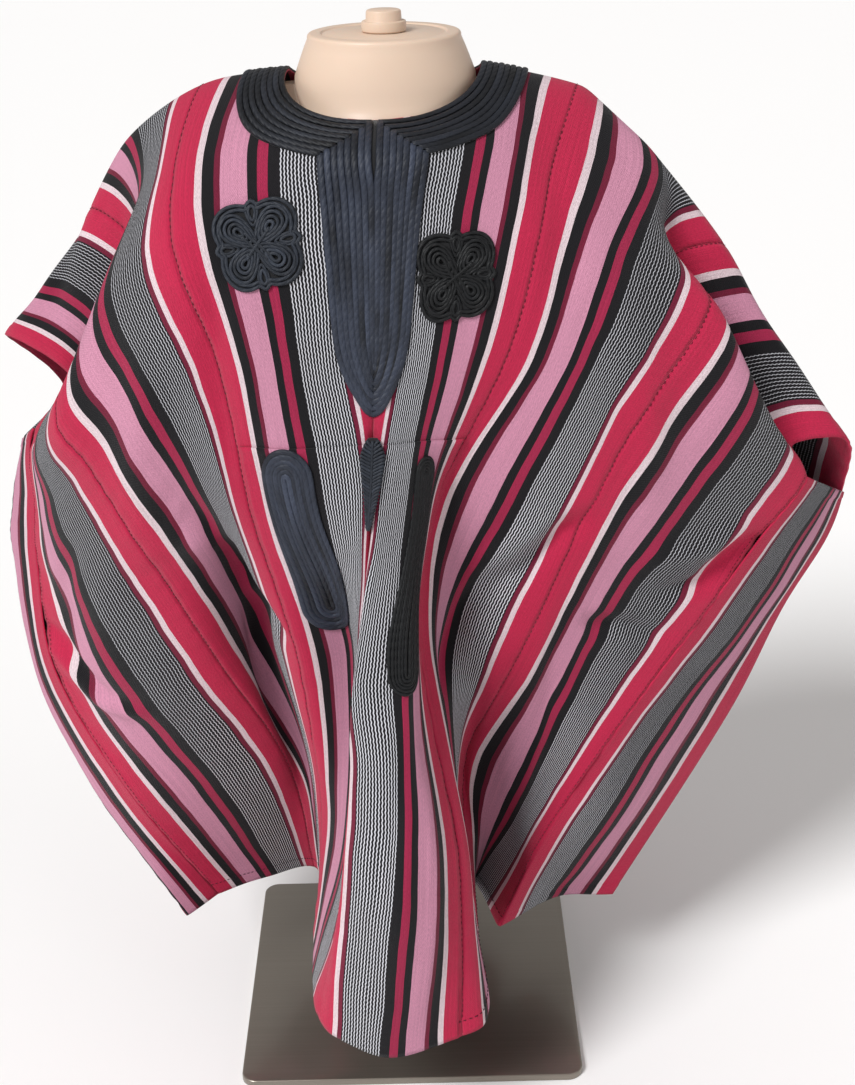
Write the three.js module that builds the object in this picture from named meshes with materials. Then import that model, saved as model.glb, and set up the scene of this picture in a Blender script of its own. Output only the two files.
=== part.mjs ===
// A hand-woven striped dashiki on a limbless dress form with a pole and a square plate.
// Millimetres, +Z up, the front looks along -Y. Origin: middle of the plate's underside.
// The cloth is worked out from one net: rows are lines of warp, counted in strips from the
// centre line, and columns are stops along the cloth from the front hem, over the shoulder
// fold, to the back hem. Minus is the wearer's right side, which a viewer sees on the left.
import * as THREE from "three";

// ---------------------------------------------------------------- driving sizes
const STRIP = 140;            // width of one woven strip
const FRONT_LENGTH = 800;     // shoulder fold to front hem, along the cloth
const BACK_LENGTH = 790;      // shoulder fold to back hem
const CLOTH = 2;              // wall of one layer of cloth
const SEAM_GAP = 0.3;         // two pieces stay this far apart
const TRIM = 2.4;             // couched cord work, as one layer
const POCKET_CLOTH = 1.2;     // the pocket's single layer
const ARMHOLE_FRONT = 140;    // shoulder fold to gore top, at the front and at the back
const ARMHOLE_BACK = 120;
const NECK = { half: 68, drop: 66, rise: 34 };        // half width, front and back depth
const COLLAR = { width: 37, clear: 1.1 };             // clear: its gap to the curved shoulder
const BIB = { half: 36, foot: 33, shoulder: -220, tip: -292 };
const POCKET = { top: -310, inset: 4, clear: 0.4 };
const MOUTH = { top: -312, bottom: -478, radius: 24, topX: 88, bottomX: 74, sway: 6 };
const BADGE = { top: -309, bottom: -378, half: 10 };
const FORM = { neckTop: 874, neckRadius: 58.5, neckLip: 4, ring: 47 };
const KNOB = { radius: 17, cap: 14, drumHigh: 8, high: 16 };
const PLATE = { side: 300, thick: 6, corner: 14 };
const POLE = { radius: 13, flange: 34, flangeHigh: 10 };

// ---------------------------------------------------------------- the cloth's net
// Stops along the cloth, in millimetres from the shoulder fold (minus is the front).
const STOPS = {
  frontHem: -800, knee: -648, hip: -505, waist: -372, chest: -245, yoke: -145, tuck: -80,
  ridge: 0, backYoke: 105, backChest: 220, backWaist: 365, backHip: 535, backHem: 790,
};
// at: strips from the centre line. Every stop is [across, back, up].
const NET = [
  { at: -3, frontHem: [-176, -20, 113], knee: [-245, -35, 235], hip: [-305, 0, 337],
    waist: [-314, 20, 430], chest: [-313, 35, 487], yoke: [-311, 45, 543],
    tuck: [-258, -28, 612], ridge: [-318, 20, 637], backYoke: [-296, 120, 560],
    backChest: [-300, 128, 470], backWaist: [-296, 120, 395], backHip: [-270, 90, 280],
    backHem: [-168, 18, 112] },
  { at: -2.5, frontHem: [-130, 10, 112], knee: [-173, -36, 238], hip: [-228, -53, 345],
    waist: [-266, -52, 442], chest: [-284, -38, 512], yoke: [-292, -12, 565],
    tuck: [-232, -24, 652], ridge: [-283, 15, 678], backYoke: [-262, 92, 612],
    backChest: [-262, 122, 505], backWaist: [-252, 138, 410], backHip: [-222, 122, 285],
    backHem: [-146, 78, 112] },
  { at: -2, frontHem: [-88, 25, 112], knee: [-105, -28, 257], hip: [-155, -72, 385],
    waist: [-196, -88, 478], chest: [-238, -86, 560], yoke: [-260, -70, 610],
    tuck: [-198, -32, 708], ridge: [-236, 10, 742], backYoke: [-226, 74, 668],
    backChest: [-220, 108, 560], backWaist: [-200, 122, 440], backHip: [-168, 118, 300],
    backHem: [-124, 128, 112] },
  { at: -1.5, frontHem: [-80, -28, 112], knee: [-86, -18, 258], hip: [-122, -40, 405],
    waist: [-148, -101, 525], chest: [-186, -106, 627], yoke: [-219, -71, 692],
    tuck: [-188, -34, 764], ridge: [-199, 6, 797], backYoke: [-188, 78, 718],
    backChest: [-172, 104, 608], backWaist: [-152, 110, 478], backHip: [-122, 96, 318],
    backHem: [-90, 98, 112] },
  { at: -1, frontHem: [-82, -75, 112], knee: [-70, -98, 260], hip: [-84, -114, 400],
    waist: [-112, -120, 530], chest: [-130, -122, 650], yoke: [-157, -103, 740],
    tuck: [-155, -64, 796], ridge: [-139, 8, 836], backYoke: [-134, 86, 756],
    backChest: [-124, 112, 642], backWaist: [-104, 128, 506], backHip: [-88, 140, 335],
    backHem: [-92, 168, 112] },
  { at: -0.5, frontHem: [-81, -140, 112], knee: [-45, -136, 260], hip: [-39, -110, 402],
    waist: [-63, -136, 532], chest: [-76, -126, 655], yoke: [-87, -104, 752],
    tuck: [-86, -72, 808], ridge: [-70, 8, 846], backYoke: [-66, 99, 762],
    backChest: [-62, 118, 648], backWaist: [-52, 144, 510], backHip: [-48, 184, 340],
    backHem: [-52, 224, 112] },
  { at: -0.14, frontHem: [-77, -182, 120], knee: [-42, -170, 260], hip: [-31, -141, 404],
    waist: [-27, -147, 534], chest: [-29, -127, 659], yoke: [-30, -107, 759],
    tuck: [-30, -87, 808], ridge: [-22, 35, 848], backYoke: [-20, 104, 766],
    backChest: [-17, 115, 650], backWaist: [-15, 128, 512], backHip: [-14, 157, 342],
    backHem: [-15, 191, 112] },
  { at: 0, frontHem: [-72, -203, 118], knee: [-42, -188, 260], hip: [-30, -159, 404],
    waist: [-19, -150, 535], chest: [-12, -127, 660], yoke: [-9, -107, 760],
    tuck: [-8, -90, 808], ridge: [-3, 40, 848], backYoke: [-2, 104, 766],
    backChest: [0, 114, 650], backWaist: [0, 124, 512], backHip: [0, 150, 342],
    backHem: [0, 182, 112] },
  { at: 0.14, frontHem: [-61, -222, 114], knee: [-45, -208, 262], hip: [-34, -178, 404],
    waist: [-11, -151, 534], chest: [3, -127, 659], yoke: [10, -106, 759], tuck: [14, -87, 808],
    ridge: [17, 35, 848], backYoke: [17, 104, 766], backChest: [17, 115, 650],
    backWaist: [15, 127, 512], backHip: [14, 156, 342], backHem: [15, 190, 112] },
  { at: 0.5, frontHem: [-15, -240, 105], knee: [0, -240, 262], hip: [6, -182, 404],
    waist: [13, -136, 535], chest: [36, -124, 655], yoke: [56, -102, 752], tuck: [68, -70, 808],
    ridge: [70, 8, 847], backYoke: [66, 99, 762], backChest: [62, 118, 648],
    backWaist: [54, 142, 510], backHip: [50, 182, 340], backHem: [54, 222, 112] },
  { at: 1, frontHem: [43, -222, 110], knee: [42, -196, 260], hip: [16, -112, 401],
    waist: [31, -107, 530], chest: [86, -116, 650], yoke: [112, -100, 740],
    tuck: [126, -62, 792], ridge: [147, 5, 830], backYoke: [140, 86, 752],
    backChest: [128, 112, 640], backWaist: [112, 124, 505], backHip: [96, 134, 335],
    backHem: [96, 160, 112] },
  { at: 1.15, frontHem: [60, -212, 112], knee: [50, -180, 260], hip: [25, -98, 401],
    waist: [40, -104, 530], chest: [103, -115, 650], yoke: [131, -96, 736],
    tuck: [150, -57, 786], ridge: [164, 0, 818], backYoke: [160, 80, 741],
    backChest: [148, 108, 631], backWaist: [130, 118, 498], backHip: [109, 118, 331],
    backHem: [98, 137, 112] },
  { at: 1.5, frontHem: [64, -166, 113], knee: [46, -122, 258], hip: [40, -80, 405],
    waist: [92, -108, 535], chest: [143, -115, 645], yoke: [176, -86, 724],
    tuck: [203, -44, 766], ridge: [199, -14, 783], backYoke: [204, 66, 705],
    backChest: [192, 98, 600], backWaist: [170, 104, 475], backHip: [138, 88, 318],
    backHem: [98, 88, 112] },
  { at: 2, frontHem: [60, -80, 112], knee: [50, -32, 250], hip: [97, -89, 388],
    waist: [143, -108, 505], chest: [191, -105, 603], yoke: [242, -80, 678],
    tuck: [214, -32, 700], ridge: [261, -20, 708], backYoke: [262, 62, 632],
    backChest: [246, 92, 532], backWaist: [216, 100, 425], backHip: [178, 92, 292],
    backHem: [134, 98, 112] },
  { at: 2.5, frontHem: [58, -6, 112], knee: [98, -62, 237], hip: [137, -78, 342],
    waist: [180, -88, 442], chest: [238, -80, 525], yoke: [283, -77, 607],
    tuck: [260, -26, 622], ridge: [307, -28, 633], backYoke: [318, 52, 560],
    backChest: [308, 78, 478], backWaist: [274, 84, 392], backHip: [226, 66, 272],
    backHem: [166, 50, 110] },
  { at: 3, frontHem: [80, -72, 108], knee: [122, -84, 215], hip: [184, -77, 315],
    waist: [243, -67, 398], chest: [298, -48, 470], yoke: [333, -42, 518],
    tuck: [322, -36, 546], ridge: [369, -28, 546], backYoke: [381, 20, 487],
    backChest: [372, 30, 436], backWaist: [338, 34, 366], backHip: [292, 14, 274],
    backHem: [186, -24, 106] },
];
// The fold down the middle of each side gore: top is level with the bottom of the armhole.
const GORE_FOLD = {
  right: { frontHem: [-200, -50, 112], knee: [-277, 0, 209], hip: [-328, 35, 310],
    waist: [-342, 60, 418], chest: [-341, 75, 470], yoke: [-329, 85, 521] },
  left: { frontHem: [130, -36, 112], knee: [174, -64, 209], hip: [234, -44, 302],
    waist: [290, -26, 372], chest: [330, -12, 436], yoke: [362, -10, 494] },
};

// ---------------------------------------------------------------- smooth net
const SIDE_SEAM = 3;          // strips from the centre line to a gore
const STOP_NAMES = Object.keys(STOPS);
const STOP_AT = STOP_NAMES.map((name) => STOPS[name]);

// Catmull-Rom through values at uneven places, with straight ends.
function spline(places, values, x) {
  let i = 0;
  while (i < places.length - 2 && x > places[i + 1]) i += 1;
  const slope = (k) => {
    const a = Math.max(k - 1, 0);
    const b = Math.min(k + 1, places.length - 1);
    return values[b].clone().sub(values[a]).divideScalar(places[b] - places[a]);
  };
  const span = places[i + 1] - places[i];
  const t = (x - places[i]) / span;
  const t2 = t * t;
  const t3 = t2 * t;
  return values[i].clone().multiplyScalar(2 * t3 - 3 * t2 + 1)
    .addScaledVector(slope(i), (t3 - 2 * t2 + t) * span)
    .addScaledVector(values[i + 1], 3 * t2 - 2 * t3)
    .addScaledVector(slope(i + 1), (t3 - t2) * span);
}

const NET_AT = NET.map((row) => row.at);
const NET_LINES = NET.map((row) => STOP_NAMES.map((name) => new THREE.Vector3(...row[name])));

// The cloth's middle surface: u in strips from the centre, v along the cloth.
function cloth(u, v) {
  const across = NET_LINES.map((line) => spline(STOP_AT, line, v));
  return spline(NET_AT, across, u);
}

function normalOf(surface, a, b, stepA, stepB) {
  const alongA = surface(a + stepA, b).sub(surface(a - stepA, b));
  const alongB = surface(a, b + stepB).sub(surface(a, b - stepB));
  return alongA.cross(alongB).normalize();
}

const clothNormal = (u, v) => normalOf(cloth, u, v, 0.01, 1);

// A gore runs from the front panel's edge (w = 0) round its fold to the back's edge (w = 1).
// s runs from the hem (0) to the bottom of the armhole (1).
const goreFront = (s) => -FRONT_LENGTH + s * (FRONT_LENGTH - ARMHOLE_FRONT);
const goreBack = (s) => BACK_LENGTH - s * (BACK_LENGTH - ARMHOLE_BACK);

function goreSurface(side) {
  const edge = side === "right" ? -SIDE_SEAM : SIDE_SEAM;
  const names = Object.keys(GORE_FOLD[side]);
  const places = names.map((name) => STOPS[name]);
  const fold = names.map((name) => new THREE.Vector3(...GORE_FOLD[side][name]));
  return (w, s) => {
    const front = goreFront(s);
    const back = goreBack(s);
    const line = [cloth(edge, front), spline(places, fold, front), cloth(edge, back)];
    return spline([0, 0.5, 1], line, w);
  };
}

function goreNormal(side, w, s) {
  const step = 0.01;
  const turned = normalOf(goreSurface(side), w, s, step, step);
  return side === "right" ? turned.negate() : turned;
}

// ---------------------------------------------------------------- walls
// A closed wall from a grid of middle points and their normals.
function wall(points, normals, thick, lift = 0) {
  const rows = points.length;
  const columns = points[0].length;
  const positions = [];
  const index = [];
  [thick / 2, -thick / 2].forEach((side) => {
    points.forEach((line, i) => line.forEach((point, j) => {
      positions.push(...point.clone().addScaledVector(normals[i][j], lift + side).toArray());
    }));
  });
  const outer = (i, j) => i * columns + j;
  const inner = (i, j) => rows * columns + i * columns + j;
  const quad = (a, b, c, d) => index.push(a, b, c, a, c, d);
  for (let i = 0; i < rows - 1; i += 1) {
    for (let j = 0; j < columns - 1; j += 1) {
      quad(outer(i, j), outer(i, j + 1), outer(i + 1, j + 1), outer(i + 1, j));
      quad(inner(i, j), inner(i + 1, j), inner(i + 1, j + 1), inner(i, j + 1));
    }
    quad(outer(i + 1, 0), inner(i + 1, 0), inner(i, 0), outer(i, 0));
    quad(outer(i + 1, columns - 1), outer(i, columns - 1), inner(i, columns - 1),
      inner(i + 1, columns - 1));
  }
  for (let j = 0; j < columns - 1; j += 1) {
    quad(outer(0, j + 1), outer(0, j), inner(0, j), inner(0, j + 1));
    quad(outer(rows - 1, j), outer(rows - 1, j + 1), inner(rows - 1, j + 1),
      inner(rows - 1, j));
  }
  return solidFrom(positions, index);
}

function solidFrom(positions, index) {
  const geometry = new THREE.BufferGeometry();
  geometry.setAttribute("position", new THREE.Float32BufferAttribute(positions, 3));
  geometry.setIndex(index);
  geometry.computeVertexNormals();
  return geometry;
}

const group = new THREE.Group();
const steps = (from, to, count) =>
  Array.from({ length: count + 1 }, (_, i) => from + ((to - from) * i) / count);

const FINISH = {
  cloth: { color: 0xc8284b, roughness: 0.85, metalness: 0 },
  cord: { color: 0x2d323e, roughness: 0.6, metalness: 0 },
  form: { color: 0xeedcc6, roughness: 0.45, metalness: 0 },
  steel: { color: 0x8c8778, roughness: 0.3, metalness: 0.7 },
};

function add(name, geometry, finish) {
  const mesh = new THREE.Mesh(geometry, new THREE.MeshStandardMaterial(FINISH[finish]));
  mesh.name = name;
  group.add(mesh);
}

// ---------------------------------------------------------------- strips and gores
const GORE_ROWS = 20;
const GORE_COLUMNS = 6;
const STRIP_COLUMNS = 4;
const SEAM_STEP = SEAM_GAP / 2 / STRIP;
const lowerFront = steps(-FRONT_LENGTH, -ARMHOLE_FRONT, GORE_ROWS);
const upperFront = [-118, -98, -82, -74, -NECK.drop, -62, -52, -36, -18];
const upperBack = [0, 16, 28, NECK.rise, 56, 88];
const lowerBack = steps(ARMHOLE_BACK, BACK_LENGTH, GORE_ROWS);
const ROWS = [...lowerFront, ...upperFront, ...upperBack, ...lowerBack];

// How far the neck hole reaches from the centre line at v, in strips.
function neckReach(v) {
  const depth = v < 0 ? NECK.drop : NECK.rise;
  const share = Math.min(Math.abs(v) / depth, 1);
  return (NECK.half * Math.sqrt(1 - share * share)) / STRIP;
}

// The normal on the edge between a gore and a body strip bisects the two.
function edgeNormal(side, v) {
  const u = side === "right" ? -SIDE_SEAM : SIDE_SEAM;
  const own = clothNormal(u, v);
  const front = v <= -ARMHOLE_FRONT;
  if (!front && v < ARMHOLE_BACK) return own;
  const s = front ? (v + FRONT_LENGTH) / (FRONT_LENGTH - ARMHOLE_FRONT)
    : (BACK_LENGTH - v) / (BACK_LENGTH - ARMHOLE_BACK);
  return own.add(goreNormal(side, front ? 0 : 1, s)).normalize();
}

function strip(name, from) {
  const points = [];
  const normals = [];
  ROWS.forEach((v) => {
    let low = from + SEAM_STEP;
    let high = from + 1 - SEAM_STEP;
    if (from === 0) low = Math.max(low, neckReach(v));
    if (from === -1) high = Math.min(high, -neckReach(v));
    const us = steps(low, high, STRIP_COLUMNS);
    points.push(us.map((u) => cloth(u, v)));
    normals.push(us.map((u, j) => {
      if (from === -SIDE_SEAM && j === 0) return edgeNormal("right", v);
      if (from + 1 === SIDE_SEAM && j === STRIP_COLUMNS) return edgeNormal("left", v);
      if (j === 0) return clothNormal(Math.max(u - SEAM_STEP, from), v);
      if (j === STRIP_COLUMNS) return clothNormal(Math.min(u + SEAM_STEP, from + 1), v);
      return clothNormal(u, v);
    }));
  });
  add(name, wall(points, normals, CLOTH), "cloth");
}

function gore(name, side) {
  const surface = goreSurface(side);
  const points = [];
  const normals = [];
  const edge = SEAM_GAP / STRIP;
  steps(0, 1, GORE_ROWS).forEach((s) => {
    const ws = steps(edge, 1 - edge, GORE_COLUMNS);
    points.push(ws.map((w) => surface(w, s)));
    normals.push(ws.map((w, j) => {
      if (j === 0) return edgeNormal(side, goreFront(s));
      if (j === GORE_COLUMNS) return edgeNormal(side, goreBack(s));
      return goreNormal(side, w, s);
    }));
  });
  if (side === "right") {
    points.forEach((line) => line.reverse());
    normals.forEach((line) => line.reverse());
  }
  add(name, wall(points, normals, CLOTH), "cloth");
}

strip("strip_right_outer", -3);
strip("strip_right_middle", -2);
strip("strip_right_centre", -1);
strip("strip_left_centre", 0);
strip("strip_left_middle", 1);
strip("strip_left_outer", 2);
gore("gore_right", "right");
gore("gore_left", "left");

// ---------------------------------------------------------------- work laid on the cloth
// Everything here is drawn flat, x across and y along the cloth in millimetres, and lies on
// the panel's own points, moved out along its normal.
const BEND = 0.95;            // lets a flat-faced patch clear a bent panel under it
const ON_CLOTH = CLOTH / 2 + BEND;
const ON_POCKET = CLOTH / 2 + SEAM_GAP + POCKET_CLOTH + 1.5;
const CORD_RELIEF = 0.6;      // how far a raised cord stands out
const THROAT = 1.5;           // the bib starts this far below the neck's edge

// The panel's own flat faces: a point and its normal between the four corners of its cell.
function onPanel(x, y) {
  const u = x / STRIP;
  const left = Math.floor(u * STRIP_COLUMNS) / STRIP_COLUMNS;
  const row = Math.min(ROWS.findIndex((v) => v > y), ROWS.length - 1);
  const [low, high] = [ROWS[row - 1], ROWS[row]];
  const across = (u - left) * STRIP_COLUMNS;
  const along = (y - low) / (high - low);
  const blend = (surface) => {
    const near = surface(left, low).lerp(surface(left + 1 / STRIP_COLUMNS, low), across);
    const far = surface(left, high).lerp(surface(left + 1 / STRIP_COLUMNS, high), across);
    return near.lerp(far, along);
  };
  return { point: blend(cloth), normal: blend(clothNormal).normalize() };
}

function patch(name, grid, thick, lift, finish, relief = () => 0) {
  const seats = grid.map((line) => line.map(([x, y]) => onPanel(x, y)));
  const points = seats.map((line) => line.map((seat) => seat.point));
  const normals = seats.map((line) => line.map((seat) => seat.normal));
  const geometry = wall(points, normals, thick, lift + thick / 2);
  const position = geometry.attributes.position;
  const columns = grid[0].length;
  grid.forEach((line, i) => line.forEach((place, j) => {
    const k = i * columns + j;
    const raised = new THREE.Vector3().fromBufferAttribute(position, k)
      .addScaledVector(normals[i][j], relief(i, j));
    position.setXYZ(k, raised.x, raised.y, raised.z);
  }));
  geometry.computeVertexNormals();
  add(name, geometry, finish);
}

// The collar runs round the neck from one side of the bib to the other.
function collar() {
  const grown = (ring, by) => ({ half: ring.half + by, drop: ring.drop + by,
    rise: ring.rise + by });
  const inner = grown(NECK, 0.5);
  const outer = grown(inner, COLLAR.width);
  const clear = BIB.half + SEAM_GAP;
  const at = (ring, share) => {
    const start = Math.asin(clear / ring.half);
    const angle = start + (2 * Math.PI - 2 * start) * share;
    const depth = Math.cos(angle) > 0 ? -ring.drop : -ring.rise;
    return [-ring.half * Math.sin(angle), depth * Math.cos(angle)];
  };
  const grid = steps(0, 1, 44).map((share) => {
    const a = at(inner, share);
    const b = at(outer, share);
    return steps(1, 0, 3).map((t) => [a[0] + (b[0] - a[0]) * t, a[1] + (b[1] - a[1]) * t]);
  });
  patch("collar", grid, TRIM, ON_CLOTH + COLLAR.clear, "cord");
}

// The bib is a long shield: straight sides down to its shoulder, then a round foot.
function bib() {
  const top = -NECK.drop - THROAT;
  const taper = BIB.half - BIB.foot;
  const halfAt = (y) => {
    if (y > BIB.shoulder) return BIB.half - (taper * (top - y)) / (top - BIB.shoulder);
    const t = (BIB.shoulder - y) / (BIB.shoulder - BIB.tip);
    return BIB.foot * Math.sqrt(Math.max(1 - t * t, 0.03));
  };
  const footRows = [0, 0.12, 0.3, 0.48, 0.64, 0.78, 0.9, 1]
    .map((t) => BIB.shoulder + (BIB.tip - BIB.shoulder) * t);
  const upperRows = ROWS.filter((v) => v < top && v > BIB.shoulder).reverse();
  const grid = [top, ...upperRows, ...footRows].map((y) => steps(-1, 1, 8).map((t) => {
    const x = halfAt(y) * t;
    const neckEdge = -NECK.drop * Math.sqrt(1 - (x / NECK.half) ** 2);
    return [x, y === top ? Math.min(y, neckEdge - THROAT) : y];
  }));
  patch("bib", grid.reverse(), TRIM, ON_CLOTH, "cord", (i, j) => (j % 2 ? CORD_RELIEF : 0));
}

// A knot of couched cord: a scalloped disc with four raised loops.
function rosette(name, x, y, radiusX, radiusY, turn) {
  const cells = 10;
  const loop = { height: 1.2, spread: 4 };
  const grid = steps(-1, 1, cells).map((a) => steps(-1, 1, cells).map((b) => {
    const across = b * Math.sqrt(1 - (a * a) / 2);
    const along = a * Math.sqrt(1 - (b * b) / 2);
    const angle = Math.atan2(along, across) + turn;
    const scallop = 1 + 0.05 * Math.cos(4 * angle) - 0.035 * Math.abs(Math.sin(4 * angle));
    return [x + radiusX * scallop * across, y + radiusY * scallop * along];
  }));
  const middle = cells / 2;
  const raised = (i, j) => loop.height
    * Math.abs(Math.sin(((i - middle) * (j - middle)) / loop.spread));
  patch(name, grid, TRIM, ON_CLOTH, "cord", raised);
}

// A pocket mouth: a long oval of cord round a slit, bent a little like an S.
function pocketTrim(name, side) {
  const length = MOUTH.top - MOUTH.bottom;
  const [bluntEnd, slitDepth, slitColumn] = [6, -0.9, 3];
  const grid = steps(0, 1, 16).map((t) => {
    const y = MOUTH.top - length * t;
    const end = Math.min(t, 1 - t) * length;
    const reach = end < MOUTH.radius
      ? Math.sqrt(MOUTH.radius ** 2 - (MOUTH.radius - end) ** 2) : MOUTH.radius;
    const half = Math.max(reach, bluntEnd);
    const x = MOUTH.topX + (MOUTH.bottomX - MOUTH.topX) * t
      + MOUTH.sway * Math.sin(2 * Math.PI * t);
    return steps(-1, 1, 2 * slitColumn).map((k) => [side * (x - side * half * k), y]);
  });
  const sorted = grid.map((line) => line.sort((a, b) => a[0] - b[0]));
  const foldClear = side > 0 ? 1.2 : 0;
  patch(name, sorted.reverse(), TRIM, ON_POCKET + foldClear, "cord",
    (i, j) => (j === slitColumn ? slitDepth : CORD_RELIEF * (j % 2)));
}

function teardrop() {
  const rows = steps(0, 1, 8).map((t) => {
    const half = BADGE.half * Math.sqrt(Math.min(t * 5 + 0.12, 1)) * (1 - 0.85 * t ** 2.2);
    return steps(-1, 1, 4).map((k) => [half * k, BADGE.top + (BADGE.bottom - BADGE.top) * t]);
  });
  patch("teardrop_badge", rows.reverse(), TRIM, ON_POCKET, "cord",
    (i, j) => (j === 2 ? CORD_RELIEF : 0));
}

// The front pocket is a second layer from its top seam down to the hem.
function pocket() {
  const edge = 1 - POCKET.inset / STRIP;
  const us = [-edge, ...steps(-0.75, 0.75, 6), edge];
  const top = lowerFront.findIndex((v) => v > POCKET.top);
  const grid = lowerFront.slice(0, top + 1).map((v) => us.map((u) => [u * STRIP, v]));
  patch("front_pocket", grid, POCKET_CLOTH, CLOTH / 2 + SEAM_GAP + POCKET.clear, "cloth");
}

pocket();
bib();
collar();
rosette("rosette_right", -80, -159, 32, 35, 0);
rosette("rosette_left", 77, -182, 34, 35, 0.2);
pocketTrim("pocket_trim_right", -1);
pocketTrim("pocket_trim_left", 1);
teardrop();

// ---------------------------------------------------------------- dress form and stand
// Rings of the torso from its base to the neck: half width, half depth, how far back, and
// the radius of the round neck where it runs down into the shoulders.
const TORSO = [
  { up: 396, half: 62, deep: 44, back: 14 },
  { up: 398, half: 76, deep: 52, back: 14 },
  { up: 410, half: 84, deep: 56, back: 14 },
  { up: 450, half: 94, deep: 64, back: 14 },
  { up: 510, half: 104, deep: 72, back: 10 },
  { up: 570, half: 118, deep: 80, back: 6 },
  { up: 640, half: 138, deep: 88, back: 2 },
  { up: 700, half: 152, deep: 88, back: 0 },
  { up: 745, half: 158, deep: 80, back: 0 },
  { up: 785, half: 156, deep: 62, back: 2 },
  { up: 800, half: 153, deep: 54, back: 3, neck: 62 },
  { up: 812, half: 150, deep: 44, back: 4, neck: 61 },
  { up: 823, half: 144, deep: 34, back: 5, neck: 60 },
  { up: 831, half: 130, deep: 25, back: 6, neck: 60 },
  { up: 837, half: 104, deep: 14, back: 2, neck: 60 },
  { up: 843, half: 64, deep: 16, back: 0, neck: 60.5 },
  { up: 849, half: 63.5, deep: 59, back: 0 },
  { up: 857, half: 60, deep: 58, back: 0 },
  { up: FORM.neckTop - FORM.neckLip, half: FORM.neckRadius, deep: FORM.neckRadius, back: 0 },
  { up: FORM.neckTop - 1, half: FORM.neckRadius - 1.2, deep: FORM.neckRadius - 1.2, back: 0 },
  { up: FORM.neckTop, half: FORM.neckRadius - 4, deep: FORM.neckRadius - 4, back: 0 },
  { up: FORM.neckTop, half: FORM.ring + 1.5, deep: FORM.ring + 1.5, back: 0 },
  { up: FORM.neckTop - 1.2, half: FORM.ring, deep: FORM.ring, back: 0 },
  { up: FORM.neckTop - 1.2, half: FORM.ring - 2, deep: FORM.ring - 2, back: 0 },
  { up: FORM.neckTop - 0.4, half: FORM.ring - 4, deep: FORM.ring - 4, back: 0 },
];

// A closed body through level rings, shut with a middle point at each end.
function ringed(rings, sides) {
  const positions = [];
  const index = [];
  rings.forEach((ring) => {
    for (let k = 0; k < sides; k += 1) {
      const angle = (2 * Math.PI * k) / sides;
      const x = ring.half * Math.cos(angle);
      const y = ring.back + ring.deep * Math.sin(angle);
      const round = Math.max(1, (ring.neck ?? 0) / Math.hypot(x, y));
      positions.push(x * round, y * round, ring.up);
    }
  });
  const first = rings.length * sides;
  const last = first + 1;
  positions.push(0, rings[0].back, rings[0].up);
  positions.push(0, rings[rings.length - 1].back, rings[rings.length - 1].up);
  for (let k = 0; k < sides; k += 1) {
    const next = (k + 1) % sides;
    for (let i = 0; i < rings.length - 1; i += 1) {
      const [a, b] = [i * sides + k, i * sides + next];
      const [c, d] = [b + sides, a + sides];
      index.push(a, b, c, a, c, d);
    }
    const end = (rings.length - 1) * sides;
    index.push(first, next, k, last, end + k, end + next);
  }
  return solidFrom(positions, index);
}

function lathe(profile, sides) {
  const geometry = new THREE.LatheGeometry(profile.map(([r, h]) => new THREE.Vector2(r, h)),
    sides);
  return geometry.rotateX(Math.PI / 2);
}

// The knob is a low drum with a narrower cap on it.
function form() {
  add("form_torso", ringed(TORSO, 36), "form");
  const foot = TORSO[TORSO.length - 1].up + SEAM_GAP;
  const step = foot + KNOB.drumHigh;
  const top = foot + KNOB.high;
  add("form_knob", lathe([[0, foot], [KNOB.radius - 1, foot], [KNOB.radius, foot + 1],
    [KNOB.radius, step - 1], [KNOB.radius - 1, step], [KNOB.cap, step],
    [KNOB.cap - 0.5, top - 2], [KNOB.cap - 2, top], [0, top]], 28), "form");
}

function stand() {
  const { side, thick, corner } = PLATE;
  const half = side / 2;
  const outline = new THREE.Shape();
  outline.moveTo(half - corner, -half);
  outline.absarc(half - corner, -half + corner, corner, -Math.PI / 2, 0, false);
  outline.absarc(half - corner, half - corner, corner, 0, Math.PI / 2, false);
  outline.absarc(-half + corner, half - corner, corner, Math.PI / 2, Math.PI, false);
  outline.absarc(-half + corner, -half + corner, corner, Math.PI, 1.5 * Math.PI, false);
  const plate = new THREE.ExtrudeGeometry(outline, { depth: thick, bevelEnabled: false,
    curveSegments: 6 });
  add("base_plate", plate, "steel");
  const foot = thick + SEAM_GAP;
  const collarTop = foot + POLE.flangeHigh;
  const poleTop = TORSO[0].up - SEAM_GAP;
  const pole = lathe([[0, foot], [POLE.flange, foot], [POLE.flange, collarTop - 3],
    [POLE.flange - 3, collarTop], [POLE.radius, collarTop], [POLE.radius, poleTop],
    [0, poleTop]], 24);
  pole.translate(0, TORSO[0].back, 0);
  add("pole", pole, "steel");
}

form();
stand();

export default group;
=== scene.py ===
"""A hand-woven striped dashiki with couched cord work, on a limbless dress form and stand.

Metres, +Z up, the garment's front looks along -Y. The cloth's tables are in millimetres.
Right and left are the wearer's.
"""
import math

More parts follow.
